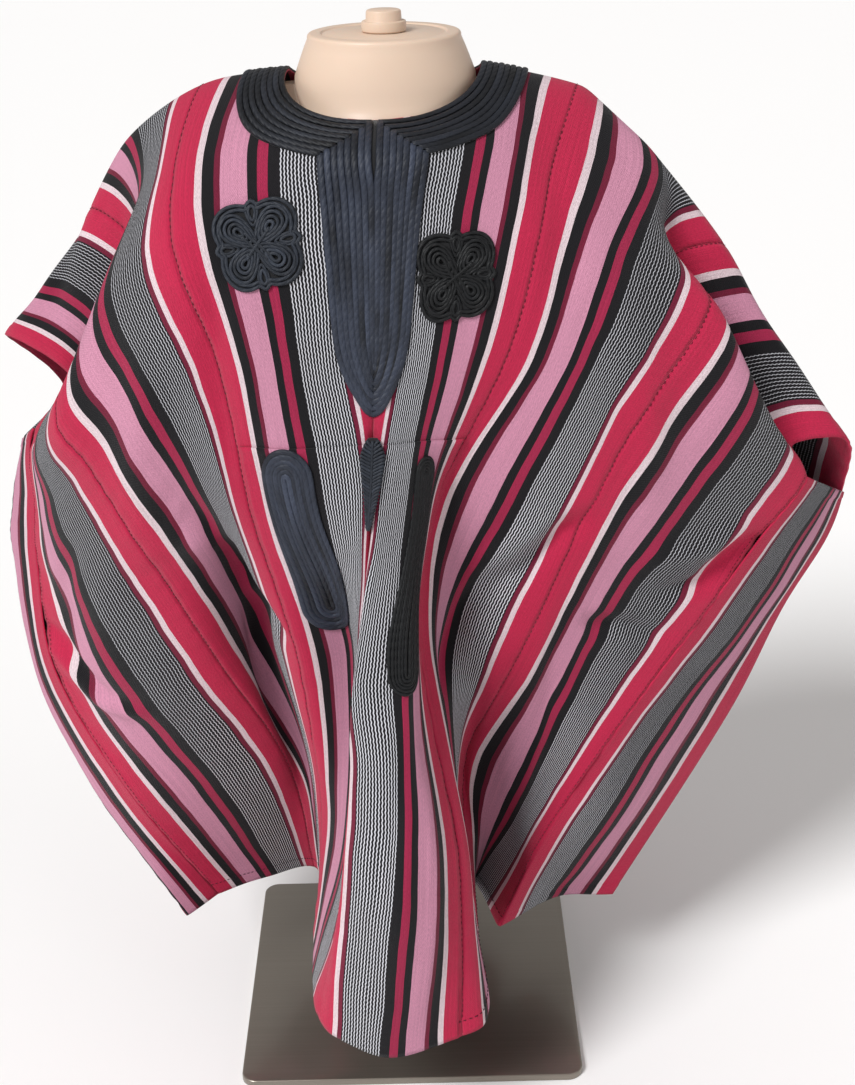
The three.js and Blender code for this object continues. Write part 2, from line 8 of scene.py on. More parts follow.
import bpy
import numpy as np
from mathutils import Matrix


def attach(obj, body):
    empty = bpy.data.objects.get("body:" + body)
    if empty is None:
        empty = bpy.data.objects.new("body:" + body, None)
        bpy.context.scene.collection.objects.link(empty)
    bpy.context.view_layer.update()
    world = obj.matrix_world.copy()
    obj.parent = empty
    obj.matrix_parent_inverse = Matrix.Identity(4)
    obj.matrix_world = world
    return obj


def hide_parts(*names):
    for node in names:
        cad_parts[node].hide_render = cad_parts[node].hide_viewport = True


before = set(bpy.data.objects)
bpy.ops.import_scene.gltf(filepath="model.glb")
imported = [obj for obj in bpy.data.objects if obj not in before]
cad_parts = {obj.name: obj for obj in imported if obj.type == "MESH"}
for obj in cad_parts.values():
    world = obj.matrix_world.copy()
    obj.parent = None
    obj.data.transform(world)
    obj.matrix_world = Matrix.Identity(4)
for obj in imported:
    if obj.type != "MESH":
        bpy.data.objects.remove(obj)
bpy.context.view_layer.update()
MM = 0.001


# ------------------------------------------------------------------ camera
CAMERA = dict(place=(0.024, -1.382, 1.057), down=23.67, roll=1.32, lens=58.8)


def set_camera():
    """Looks down on the garment from the front, with a slight roll of the hand."""
    data = bpy.data.cameras.new("camera")
    data.sensor_fit = "VERTICAL"
    data.sensor_height = 36
    data.lens = CAMERA["lens"]
    camera = bpy.data.objects.new("camera", data)
    camera.location = CAMERA["place"]
    camera.rotation_euler = (math.radians(90 - CAMERA["down"]), 0, 0)
    camera.rotation_euler.rotate_axis("Z", -math.radians(CAMERA["roll"]))
    bpy.context.scene.collection.objects.link(camera)
    bpy.context.scene.camera = camera


set_camera()

# ------------------------------------------------------------------ driving sizes, mm
STRIP = 140                  # width of one woven strip
FRONT_LENGTH = 800           # shoulder fold to front hem, along the cloth
BACK_LENGTH = 790
ARMHOLE_FRONT = 140          # shoulder fold to gore top
ARMHOLE_BACK = 120
SIDE_SEAM = 3                # strips from the centre line to a gore
GORE = dict(top=140, hem=75)   # a gore tapers down to the hem
CLOTH = 1.3                  # one layer of cloth
HEM = 15                     # turned in at the hems and cuffs
TURNED = 1.1                 # what that adds to the thickness
NECK = dict(half=73, drop=64, rise=36, squareness=2.8)   # a broad U in front, shallow behind
CORD = 4.5                   # pitch of the couched cords of the bib
COLLAR_CORD = 4.0            # and of the collar
CORD_ROWS = 8
BIB = dict(half=36, foot=33, shoulder=-220, tip=-292)   # places along, minus is in front
SLIT = dict(foot=-124, opening=26, gape=1.5)   # the throat slit opens above its foot
POCKET = dict(top=-310, inset=4, lift=0.9, thick=1.04)
MOUTH_RIGHT = dict(side=-1, top=-312, bottom=-478, radius=24, flare=0.3, top_x=88,
                   bottom_x=88, sway=3)
MOUTH_LEFT = dict(side=1, top=-324, bottom=-506, radius=15, flare=0.1, top_x=80, bottom_x=74,
                  sway=5)
BADGE = dict(top=-307, bottom=-378, half=16)
NECK_CAP = dict(top=874, radius=58.5, lip=4, ring=47)
KNOB = dict(radius=17, cap=14, drum_high=8, high=16)
PLATE = dict(side=300, thick=6, corner=14)
POLE = dict(radius=13, flange=34, flange_high=10)
GAP = 0.3                    # between bodies that stand on each other

# Stops along the cloth, in millimetres from the shoulder fold (minus is the front).
STOPS = dict(
    front_hem=-800, knee=-648, hip=-505, waist=-372, chest=-245, yoke=-145, tuck=-80, ridge=0,
    back_yoke=105, back_chest=220, back_waist=365, back_hip=535, back_hem=790,
)
# Lines of warp, by strips from the centre line. Each has a point for every stop in turn,
# as (across, back, up) in mm.
NET = {
    -3: ((-176, -20, 113), (-245, -35, 235), (-305, 0, 337), (-314, 20, 430), (-313, 35, 487),
         (-311, 45, 543), (-258, -28, 612), (-318, 20, 637), (-296, 120, 560), (-300, 128, 470),
         (-296, 120, 395), (-270, 90, 280), (-168, 18, 112)),
    -2.5: ((-130, 10, 112), (-173, -36, 238), (-228, -53, 345), (-266, -52, 442),
           (-284, -38, 512), (-292, -12, 565), (-232, -24, 652), (-283, 15, 678), (-262, 92, 612),
           (-262, 122, 505), (-252, 138, 410), (-222, 122, 285), (-146, 78, 112)),
    -2: ((-88, 25, 112), (-105, -28, 257), (-155, -72, 385), (-196, -88, 478), (-238, -86, 560),
         (-260, -70, 610), (-198, -32, 708), (-236, 10, 742), (-226, 74, 668), (-220, 108, 560),
         (-200, 122, 440), (-168, 118, 300), (-124, 128, 112)),
    -1.5: ((-80, -28, 112), (-86, -18, 258), (-122, -40, 405), (-148, -101, 525),
           (-186, -106, 627), (-219, -71, 692), (-188, -34, 764), (-199, 6, 797), (-188, 78, 718),
           (-172, 104, 608), (-152, 110, 478), (-122, 96, 318), (-90, 98, 112)),
    -1: ((-82, -75, 112), (-70, -98, 260), (-84, -114, 400), (-112, -120, 530), (-130, -122, 650),
         (-157, -103, 740), (-155, -64, 796), (-139, 8, 836), (-134, 86, 756), (-124, 112, 642),
         (-104, 128, 506), (-88, 140, 335), (-92, 168, 112)),
    -0.5: ((-81, -140, 112), (-45, -136, 260), (-39, -110, 402), (-63, -136, 532),
           (-76, -126, 655), (-87, -104, 752), (-86, -72, 808), (-70, 8, 846), (-66, 99, 762),
           (-62, 118, 648), (-52, 144, 510), (-48, 184, 340), (-52, 224, 112)),
    -0.14: ((-77, -182, 120), (-42, -170, 260), (-31, -141, 404), (-27, -147, 534),
            (-29, -127, 659), (-30, -107, 759), (-30, -87, 808), (-22, 35, 848), (-20, 104, 766),
            (-17, 115, 650), (-15, 128, 512), (-14, 157, 342), (-15, 191, 112)),
    0: ((-72, -203, 118), (-42, -188, 260), (-30, -159, 404), (-19, -150, 535), (-12, -127, 660),
        (-9, -107, 760), (-8, -90, 808), (-3, 40, 848), (-2, 104, 766), (0, 114, 650),
        (0, 124, 512), (0, 150, 342), (0, 182, 112)),
    0.14: ((-61, -222, 114), (-45, -208, 262), (-34, -178, 404), (-11, -151, 534), (3, -127, 659),
           (10, -106, 759), (14, -87, 808), (17, 35, 848), (17, 104, 766), (17, 115, 650),
           (15, 127, 512), (14, 156, 342), (15, 190, 112)),
    0.5: ((-15, -240, 105), (0, -240, 262), (6, -182, 404), (13, -136, 535), (36, -124, 655),
          (56, -102, 752), (68, -70, 808), (70, 8, 847), (66, 99, 762), (62, 118, 648),
          (54, 142, 510), (50, 182, 340), (54, 222, 112)),
    1: ((43, -222, 110), (42, -196, 260), (16, -112, 401), (31, -107, 530), (86, -116, 650),
        (112, -100, 740), (126, -62, 792), (147, 5, 830), (140, 86, 752), (128, 112, 640),
        (112, 124, 505), (96, 134, 335), (96, 160, 112)),
    1.15: ((60, -212, 112), (50, -180, 260), (25, -98, 401), (40, -104, 530), (103, -115, 650),
           (131, -96, 736), (150, -57, 786), (164, 0, 818), (160, 80, 741), (148, 108, 631),
           (130, 118, 498), (109, 118, 331), (98, 137, 112)),
    1.5: ((64, -166, 113), (46, -122, 258), (40, -80, 405), (92, -108, 535), (143, -115, 645),
          (176, -86, 724), (203, -44, 766), (199, -14, 783), (204, 66, 705), (192, 98, 600),
          (170, 104, 475), (138, 88, 318), (98, 88, 112)),
    2: ((60, -80, 112), (50, -32, 250), (97, -89, 388), (143, -108, 505), (191, -105, 603),
        (242, -80, 678), (214, -32, 700), (261, -20, 708), (262, 62, 632), (246, 92, 532),
        (216, 100, 425), (178, 92, 292), (134, 98, 112)),
    2.5: ((58, -6, 112), (98, -62, 237), (137, -78, 342), (180, -88, 442), (238, -80, 525),
          (283, -77, 607), (260, -26, 622), (307, -28, 633), (318, 52, 560), (308, 78, 478),
          (274, 84, 392), (226, 66, 272), (166, 50, 110)),
    3: ((80, -72, 108), (122, -84, 215), (184, -77, 315), (243, -67, 398), (298, -48, 470),
        (333, -42, 518), (322, -36, 546), (369, -28, 546), (381, 20, 487), (372, 30, 436),
        (338, 34, 366), (292, 14, 274), (186, -24, 106)),
}
# The fold down the middle of each side gore, at the first six stops, to the armhole.
GORE_FOLD = dict(
    right=((-200, -50, 112), (-277, 0, 209), (-328, 35, 310), (-342, 60, 418), (-341, 75, 470),
           (-329, 85, 521)),
    left=((130, -36, 112), (174, -64, 209), (234, -44, 302), (290, -26, 372), (330, -12, 436),
          (362, -10, 494)),
)
# Rings of the dress form from its base to the shoulders: up, half its width, half its
# depth, and how far back.
TORSO = ((396, 62, 44, 14), (398, 76, 52, 14), (410, 84, 56, 14), (450, 94, 64, 14),
         (510, 104, 72, 10), (570, 118, 80, 6), (640, 138, 88, 2), (700, 152, 88, 0),
         (745, 158, 80, 0), (785, 156, 62, 2), (800, 153, 54, 3), (812, 150, 44, 4),
         (823, 144, 34, 5), (831, 130, 25, 6), (837, 104, 14, 2))
# Rings of its neck, in the same order, up to the cap.
FORM_NECK = ((800, 60, 62, -4), (808, 64, 67, -4), (815, 67, 66, -3), (822, 69, 63.5, -1),
             (829, 69.4, 62.4, 0), (836, 69.5, 62.3, 0), (843, 69, 62, 0), (850, 66.5, 61.4, 0),
             (857, 63.8, 60.6, 0), (864, 61, 59.6, 0))


# ------------------------------------------------------------------ the cloth's surface
def blend_weights(places, at):
    """Each row blends values at uneven places into a smooth line; its ends run straight."""
    places = np.asarray(places, float)
    at = np.atleast_1d(np.asarray(at, float))
    last = len(places) - 1
    cell = np.clip(np.searchsorted(places, at, side="right") - 1, 0, last - 1)
    span = places[cell + 1] - places[cell]
    t = (at - places[cell]) / span
    t2, t3 = t ** 2, t ** 3
    rows = np.arange(len(at))
    weights = np.zeros((len(at), last + 1))
    np.add.at(weights, (rows, cell), 2 * t3 - 3 * t2 + 1)
    np.add.at(weights, (rows, cell + 1), 3 * t2 - 2 * t3)
    for knot, pull in ((cell, t3 - 2 * t2 + t), (cell + 1, t3 - t2)):
        before, after = np.maximum(knot - 1, 0), np.minimum(knot + 1, last)
        slope = pull * span / (places[after] - places[before])
        np.add.at(weights, (rows, after), slope)
        np.add.at(weights, (rows, before), -slope)
    return weights


NET_ACROSS = sorted(NET)
NET_ALONG = list(STOPS.values())
NET_POINTS = np.array([NET[at] for at in NET_ACROSS], float)


def body_surface(u, v):
    """Points of the six strips: u in strips from the centre, v in millimetres along."""
    across = blend_weights(NET_ACROSS, u)
    along = blend_weights(NET_ALONG, v)
    return np.einsum("ni,nj,ijk->nk", across, along, NET_POINTS, optimize=True)


def gore_front(s):
    """Along the cloth: where a gore's front seam is at this share of its length."""
    return -FRONT_LENGTH + s * (FRONT_LENGTH - ARMHOLE_FRONT)


def gore_back(s):
    """The same for its back seam."""
    return BACK_LENGTH - s * (BACK_LENGTH - ARMHOLE_BACK)


def gore_surface(side):
    """w runs round the gore from its front seam to its back seam, s from the hem up."""
    seam = -SIDE_SEAM if side == "right" else SIDE_SEAM
    fold = np.array(GORE_FOLD[side], float)
    stops = NET_ALONG[:len(fold)]

    def surface(w, s):
        edge = np.full(len(s), float(seam))
        lines = np.stack([body_surface(edge, gore_front(s)),
                          blend_weights(stops, gore_front(s)) @ fold,
                          body_surface(edge, gore_back(s))], axis=1)
        return np.einsum("nk,nkc->nc", blend_weights([0, 0.5, 1], w), lines)
    return surface


def outward(surface, a, b, step_a, step_b):
    """Normals of a surface at these coordinates, from its slopes over small steps."""
    along_a = surface(a + step_a, b) - surface(a - step_a, b)
    along_b = surface(a, b + step_b) - surface(a, b - step_b)
    normal = np.cross(along_a, along_b)
    return normal / np.linalg.norm(normal, axis=1, keepdims=True)


def smooth_step(low, high, x):
    t = np.clip((x - low) / (high - low), 0, 1)
    return t * t * (3 - 2 * t)


# Creases pressed into the cloth by its weight and by handling: how far the middle moves out
# (minus is a trough), how far it reaches to each side, and its line as (across, along) on the
# flat cloth, all in millimetres.
CREASES = (
    # the front pleat below the bib
    (-13, 10, ((0, -292), (0, -360), (0, -470), (0, -640))),
    # front, wearer's right: the long valley from the chest to the hem, and its kinks
    (-10, 17, ((-232, -340), (-205, -420), (-196, -480), (-246, -585), (-282, -720))),
    (5, 14, ((-250, -372), (-226, -400), (-196, -408))),
    (-6, 13, ((-214, -446), (-176, -470), (-150, -500))),
    (5, 26, ((-150, -150), (-190, -220), (-250, -290), (-290, -390))),
    (-5, 15, ((-118, -176), (-142, -240), (-150, -330))),
    (4, 20, ((-300, -330), (-350, -430), (-384, -560), (-392, -690))),
    (-4, 13, ((-330, -300), (-372, -380), (-398, -470))),
    (-6, 10, ((-416, -440), (-396, -480), (-366, -520))),
    (5, 12, ((-418, -470), (-384, -520), (-350, -540))),
    # front, wearer's left: short dents across the stripes, and slack down the wing
    (-8, 11, ((222, -478), (250, -430), (262, -384), (290, -350))),
    (5, 13, ((206, -452), (236, -404), (262, -360))),
    (-8, 10, ((372, -360), (402, -320), (410, -262), (419, -236))),
    (5, 12, ((352, -330), (386, -286), (404, -232))),
    (-6, 10, ((330, -430), (366, -402), (398, -392))),
    (-5, 12, ((196, -560), (214, -500), (222, -452))),
    (4, 22, ((180, -140), (226, -200), (292, -250), (330, -320))),
    (-4, 15, ((126, -60), (142, -92), (160, -140), (168, -196))),
    (-5, 16, ((296, -420), (330, -520), (350, -640), (352, -740))),
    (4, 14, ((250, -500), (292, -600), (306, -720))),
    # sleeves: from the shoulder to the cuff, on both sides of the fold
    (-9, 15, ((-300, -60), (-330, -95), (-372, -130), (-412, -150))),
    (-5, 13, ((-290, 10), (-340, -20), (-400, -34))),
    (-5, 13, ((-280, 60), (-330, 90), (-400, 104))),
    (-6, 14, ((276, -96), (330, -112), (392, -124))),
    (-5, 13, ((290, 20), (350, 46), (410, 52))),
    # lower front
    (-3, 12, ((58, -470), (64, -560), (52, -660))),
    (3, 11, ((96, -560), (104, -660), (96, -780))),
    (-3, 13, ((-30, -660), (-18, -720), (-26, -790))),
    # back: slack between the shoulder blades, then long soft folds
    (-5, 24, ((-60, 120), (0, 150), (60, 122))),
    (4, 20, ((-90, 170), (0, 206), (84, 176))),
    (-8, 18, ((-150, 200), (-176, 330), (-196, 500), (-190, 700))),
    (-7, 17, ((172, 190), (190, 310), (204, 470), (206, 660))),
    (-6, 14, ((-300, 170), (-330, 260), (-352, 400), (-356, 560))),
    (-6, 14, ((308, 150), (336, 250), (352, 380), (360, 540))),
    (5, 15, ((-236, 260), (-262, 330), (-250, 420))),
    (5, 15, ((250, 236), (276, 300), (268, 404))),
    (-5, 11, ((-408, 300), (-376, 340), (-340, 352))),
    (-5, 11, ((410, 280), (380, 322), (350, 330))),
    (-5, 15, ((0, 420), (10, 540), (-4, 690))),
)
PRESSED = 1.3                # how strongly all of them are pressed in


def crease_relief(x, y):
    """How far the creases move the cloth out, in millimetres."""
    relief = np.zeros(len(x))
    for deep, wide, points in CREASES:
        line = np.array(points, float)
        steps = np.linalg.norm(np.diff(line, axis=0), axis=1)
        reached = np.concatenate([[0], np.cumsum(steps)]) / steps.sum()
        near = np.full(len(x), 1e9)
        share = np.zeros(len(x))
        for k, length in enumerate(steps):
            ahead = (line[k + 1] - line[k]) / length
            t = np.clip((x - line[k, 0]) * ahead[0] + (y - line[k, 1]) * ahead[1], 0, length)
            gap = np.hypot(x - line[k, 0] - ahead[0] * t, y - line[k, 1] - ahead[1] * t)
            closer = gap < near
            near = np.where(closer, gap, near)
            share = np.where(closer, reached[k] + (reached[k + 1] - reached[k]) * t / length,
                             share)
        fade = np.sin(np.pi * np.clip(share, 0.02, 0.98)) ** 0.6
        relief += PRESSED * deep * fade * np.exp(-(near / wide) ** 2)
    return relief


def loom_relief(x, y):
    """Slack left by the loom and the iron: slow uneven ripples, deeper along the seams."""
    slow = (1.5 * np.sin(x / 31 + 1.7 * np.sin(y / 173)) * np.sin(y / 67 + x / 119)
            + 0.8 * np.sin(x / 13.7 + y / 41) * np.sin(y / 29 - x / 57 + 1.3))
    seam = np.abs(x / STRIP - np.round(x / STRIP)) * STRIP
    pucker = 0.4 * np.sin(y / 3.9 + 2.1 * np.sin(y / 37)) * np.exp(-(seam / 9) ** 2)
    return slow + pucker - 0.55 * np.exp(-(seam / 2.6) ** 2)


SHOULDERS = dict(across=215, along=120, least=0.08)   # where the form holds the cloth smooth


def free_share(x, y):
    """1 where the cloth hangs free, near 0 on the neck and shoulders of the form."""
    reach = np.hypot(x / SHOULDERS["across"], y / SHOULDERS["along"])
    return SHOULDERS["least"] + (1 - SHOULDERS["least"]) * smooth_step(0.75, 1.25, reach)


def body_relief(u, v):
    """How far ripples and creases move the six strips out."""
    x = u * STRIP
    return free_share(x, v) * (loom_relief(x, v) + crease_relief(x, v))


# The pleat below the bib draws the cloth in to the centre line: across in strips, along in mm.
PLEAT = dict(half=0.14, drawn=0.78, easing=0.35, starts=(-236, -366), ends=(-565, -490))


def drawn_in(u, v):
    """Where the pleat has drawn the cloth to: its own width nearly shut, its sides eased in."""
    half = PLEAT["half"]
    drawn = (PLEAT["drawn"] * smooth_step(*PLEAT["starts"], v)
             * smooth_step(*PLEAT["ends"], v))
    eased = np.exp(-np.maximum(np.abs(u) - half, 0) / PLEAT["easing"])
    return u - drawn * np.clip(u, -half, half) * eased


def on_body(flat, lift=0.0, creased=1.0):
    """Points and normals on the draped body for flat points (across, along) in millimetres.
    With creased at 0 they lie clear of every crease and of the pleat."""
    flat = np.asarray(flat, float)
    u, v = flat[:, 0] / STRIP, flat[:, 1]
    at = drawn_in(u, v) if creased else u
    normals = outward(body_surface, at, v, 0.01, 1)
    out = creased * body_relief(u, v) + lift
    return body_surface(at, v) + normals * out[:, None], normals


# ------------------------------------------------------------------ meshes
def mesh_piece(name, points, faces, uvs, material):
    """A piece from points in millimetres; uvs has one pair for each point."""
    mesh = bpy.data.meshes.new(name)
    mesh.from_pydata((np.asarray(points) * MM).tolist(), [], faces)
    layer = mesh.uv_layers.new(name="weave")
    corner_points = np.zeros(len(mesh.loops), np.int32)
    mesh.loops.foreach_get("vertex_index", corner_points)
    layer.data.foreach_set("uv", np.asarray(uvs, np.float32)[corner_points].ravel())
    mesh.polygons.foreach_set("use_smooth", [True] * len(mesh.polygons))
    mesh.materials.append(material)
    mesh.validate()
    piece = bpy.data.objects.new(name, mesh)
    bpy.context.scene.collection.objects.link(piece)
    return piece


def fitted(piece, node=None):
    """The piece stands on the one body, in place of its node where it has one."""
    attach(piece, "root")
    if node:
        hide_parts(node)


def wall_faces(rows, columns):
    """Faces of a closed wall: an outer sheet, an inner sheet and the rims between them."""
    grid = np.arange(rows * columns).reshape(rows, columns)
    under = grid + rows * columns

    def quads(a, b, c, d):
        return np.stack([a.ravel(), b.ravel(), c.ravel(), d.ravel()], axis=1)

    faces = [
        quads(grid[:-1, :-1], grid[:-1, 1:], grid[1:, 1:], grid[1:, :-1]),
        quads(under[:-1, :-1], under[1:, :-1], under[1:, 1:], under[:-1, 1:]),
        quads(grid[1:, 0], under[1:, 0], under[:-1, 0], grid[:-1, 0]),
        quads(grid[:-1, -1], under[:-1, -1], under[1:, -1], grid[1:, -1]),
        quads(grid[0, :-1], under[0, :-1], under[0, 1:], grid[0, 1:]),
        quads(grid[-1, 1:], under[-1, 1:], under[-1, :-1], grid[-1, :-1]),
    ]
    return np.concatenate(faces).tolist()


def wall_piece(name, points, normals, thick, uvs, material):
    """points and normals are rows x columns x 3; thick is one number or rows x columns."""
    rows, columns = points.shape[:2]
    half = np.broadcast_to(thick, (rows, columns))[..., None] / 2
    both = np.concatenate([(points + normals * half).reshape(-1, 3),
                           (points - normals * half).reshape(-1, 3)])
    flat = uvs.reshape(-1, 2)
    return mesh_piece(name, both, wall_faces(rows, columns), np.concatenate([flat, flat]),
                      material)


def laid_wall(name, grid, lift, thick, uvs, material, creased=1.0):
    """A wall that lies on the draped body; grid is rows x columns x 2 flat points."""
    points, normals = on_body(grid.reshape(-1, 2), lift, creased)
    shape = grid.shape[:2] + (3,)
    return wall_piece(name, points.reshape(shape), normals.reshape(shape), thick, uvs, material)


def spread(half, y, columns, middle=0.0):
    """Rows of flat points across the cloth at each y, as far as half to each side."""
    across = middle + half[:, None] * np.linspace(-1, 1, columns)
    return np.stack([across, np.repeat(y[:, None], columns, axis=1)], axis=2)


CORD_APART = 4                # cords lie this far apart in their own coordinates
PROUD = 0.7                   # a cord's middle lies this share of its half height up


def tube_mesh(paths, sides):
    """Points, faces and uvs of flattened cords. A path is a dict of points, normals, width,
    height and closed; each point is where the cord touches the cloth."""
    points, faces, uvs = [], [], []
    turn = np.linspace(0, 2 * np.pi, sides, endpoint=False)
    start = 0
    for row, path in enumerate(paths):
        line, up, closed = path["points"], path["normals"], path["closed"]
        count = len(line)
        if closed:
            ahead = np.roll(line, -1, axis=0) - np.roll(line, 1, axis=0)
        else:
            ahead = np.gradient(line, axis=0)
        ahead /= np.linalg.norm(ahead, axis=1, keepdims=True)
        aside = np.cross(ahead, up)
        aside /= np.linalg.norm(aside, axis=1, keepdims=True)
        wide = path["width"] / 2 * np.cos(turn)[:, None]
        high = path["height"] / 2 * (np.sin(turn) + PROUD)[:, None]
        ring = line[:, None] + aside[:, None] * wide + up[:, None] * high
        points.append(ring.reshape(-1, 3))
        length = np.concatenate([[0], np.cumsum(np.linalg.norm(np.diff(line, axis=0), axis=1))])
        if closed:
            length = np.minimum(length, length[-1] - length)
        uv = np.stack([np.tile(turn / (2 * np.pi) + CORD_APART * row, (count, 1)),
                       np.tile(length[:, None] * MM, (1, sides))], axis=2)
        uvs.append(uv.reshape(-1, 2))
        index = start + np.arange(count * sides).reshape(count, sides)
        if closed:
            index = np.concatenate([index, index[:1]])
        side_on = np.roll(index, -1, axis=1)
        faces += np.stack([index[:-1], index[1:], side_on[1:], side_on[:-1]],
                          axis=-1).reshape(-1, 4).tolist()
        if not closed:
            faces.append(index[0].tolist())
            faces.append(index[-1][::-1].tolist())
        start += count * sides
    return np.concatenate(points), faces, np.concatenate(uvs)


def resampled(flat, step, closed=False):
    """The same flat line with evenly spaced points, its corners a little rounded."""
    flat = np.asarray(flat, float)
    if closed:
        flat = np.concatenate([flat, flat[:1]])
    steps = np.linalg.norm(np.diff(flat, axis=0), axis=1)
    reached = np.concatenate([[0], np.cumsum(steps)])
    count = max(int(reached[-1] / step), 3)
    at = np.linspace(0, reached[-1], count + 1)
    line = np.stack([np.interp(at, reached, flat[:, k]) for k in range(2)], axis=1)
    if closed:
        line = line[:-1]
        return (np.roll(line, 1, axis=0) + 2 * line + np.roll(line, -1, axis=0)) / 4
    line[1:-1] = (line[:-2] + 2 * line[1:-1] + line[2:]) / 4
    return line


def cord_path(flat, width, height, lift, closed=False, step=2.5, creased=1.0):
    """A cord laid on the body along a flat line, with a point for each step in mm."""
    points, normals = on_body(resampled(flat, step, closed), lift, creased)
    return dict(points=points, normals=normals, width=width, height=height, closed=closed)


def cord_piece(name, paths, material, sides):
    return mesh_piece(name, *tube_mesh(paths, sides), material)


# ------------------------------------------------------------------ shader helpers
def paint(red, green, blue):
    """A colour from its 0 to 255 screen values."""
    def linear(value):
        value /= 255
        return value / 12.92 if value <= 0.04045 else ((value + 0.055) / 1.055) ** 2.4
    return (linear(red), linear(green), linear(blue), 1.0)


class Value:
    """What a socket gives, worked with like a number."""

    def __init__(self, tree, socket):
        self.tree = tree
        self.socket = socket

    def put(self, operation, *others):
        node = self.tree.nodes.new("ShaderNodeMath")
        node.operation = operation
        feed(node, range(3), self, *others)
        return Value(self.tree, node.outputs[0])

    def __add__(self, other):
        return self.put("ADD", other)

    def __sub__(self, other):
        return self.put("SUBTRACT", other)

    def __mul__(self, other):
        return self.put("MULTIPLY", other)

    def __truediv__(self, other):
        return self.put("DIVIDE", other)


def feed(node, labels, *values):
    """Links or sets the node's sockets with these labels or numbers, one for each value."""
    for label, value in zip(labels, values):
        if isinstance(value, Value):
            value.tree.links.new(value.socket, node.inputs[label])
        else:
            node.inputs[label].default_value = value


def placed(tree, x, y, z=0.0):
    """A vector from three values."""
    node = tree.nodes.new("ShaderNodeCombineXYZ")
    feed(node, range(3), x, y, z)
    return Value(tree, node.outputs[0])


def noise(tree, vector, scale, detail):
    node = tree.nodes.new("ShaderNodeTexNoise")
    feed(node, ("Vector", "Scale", "Detail"), vector, scale, detail)
    return Value(tree, node.outputs["Fac"])


def streaks(across, along, detail):
    """Noise in a piece's own coordinates, each already divided as finely as it should be."""
    return noise(across.tree, placed(across.tree, across, along), 1.0, detail)


def ranged(value, low, high, out_low=0.0, out_high=1.0):
    node = value.tree.nodes.new("ShaderNodeMapRange")
    feed(node, range(5), value, low, high, out_low, out_high)
    return Value(value.tree, node.outputs[0])


def mixed(tree, mode, factor, first, second):
    """Two colours mixed; sockets 6 and 7 of the node are its colours."""
    node = tree.nodes.new("ShaderNodeMix")
    node.data_type = "RGBA"
    node.blend_type = mode
    feed(node, (0, 6, 7), factor, first, second)
    return Value(tree, node.outputs[2])


def toned(level, colour):
    """The colour, lighter or darker by this level."""
    return mixed(level.tree, "MULTIPLY", 1.0, colour, placed(level.tree, level, level, level))


def split(value):
    """The three values of a vector."""
    node = value.tree.nodes.new("ShaderNodeSeparateXYZ")
    feed(node, (0,), value)
    return [Value(value.tree, socket) for socket in node.outputs]


def object_place(tree):
    return Value(tree, tree.nodes.new("ShaderNodeTexCoord").outputs["Object"])


def weave_place(tree):
    """The piece's own cloth coordinates: across as a share of a strip, along in metres."""
    uv = tree.nodes.new("ShaderNodeUVMap")
    uv.uv_map = "weave"
    return split(Value(tree, uv.outputs[0]))[:2]


def new_group(name, inputs, output):
    """A group with named inputs and one output: its tree, its entries and its exit node."""
    tree = bpy.data.node_groups.new(name, "ShaderNodeTree")
    for direction, labels in (("INPUT", inputs), ("OUTPUT", (output,))):
        for label in labels:
            kind = "NodeSocketColor" if label == "Color" else "NodeSocketFloat"
            tree.interface.new_socket(label, in_out=direction, socket_type=kind)
    entry = tree.nodes.new("NodeGroupInput")
    return (tree, [Value(tree, entry.outputs[label]) for label in inputs],
            tree.nodes.new("NodeGroupOutput"))


def use_group(tree, group, **values):
    """A group placed with its own values, as what it gives."""
    node = tree.nodes.new("ShaderNodeGroup")
    node.node_tree = group
    feed(node, values.keys(), *values.values())
    return Value(tree, node.outputs[0])


def new_material(name, **settings):
    """A material with its shader, and the sockets set to the same value all over."""
    material = bpy.data.materials.new(name)
    material.use_nodes = True
    shader = material.node_tree.nodes["Principled BSDF"]
    feed(shader, [label.replace("_", " ") for label in settings], *settings.values())
    return material, material.node_tree, shader


def bumped(shader, height, distance, strength):
    """Relief on the shader from a height; the distance is in metres."""
    node = height.tree.nodes.new("ShaderNodeBump")
    feed(node, ("Strength", "Distance", "Height"), strength, distance, height)
    feed(shader, ("Normal",), Value(height.tree, node.outputs["Normal"]))


def build_weave():
    """Plain weave: ends standing over every second pick, as a height from 0 to 1."""
    tree, (ends, picks), leave = new_group("plain_weave", ("Ends", "Picks"), "Height")
    end = (ends * math.pi).put("SINE").put("ABSOLUTE")
    over = (picks * math.pi + ends.put("FLOOR") * math.pi).put("SINE")
    feed(leave, ("Height",), end * (over * 0.35 + 0.65))
    return tree


def build_yarn_shade():
    """Uneven dye and spin: each yarn is a little lighter or darker, and flecks along it."""
    tree, (colour, ends, along, yarns, flecks), leave = new_group(
        "yarn_shade", ("Color", "Ends", "Along", "Yarns", "Flecks"), "Color")
    by_yarn = (streaks(ends, along * 9, 1) - 0.5) * yarns
    by_fleck = (streaks(ends, along * 420, 2) - 0.5) * flecks
    feed(leave, ("Color",), toned(by_yarn + by_fleck + 1, colour))
    return tree


def build_rub():
    """Handling marks: broad soft patches, as a factor from 0 to 1."""
    tree, (size, softness), leave = new_group("rub", ("Size", "Softness"), "Mask")
    marks = noise(tree, object_place(tree), size, 4)
    feed(leave, ("Mask",), ranged(marks, softness * -1 + 0.5, softness + 0.5))
    return tree


PLAIN_WEAVE = build_weave()
YARN_SHADE = build_yarn_shade()
RUB = build_rub()

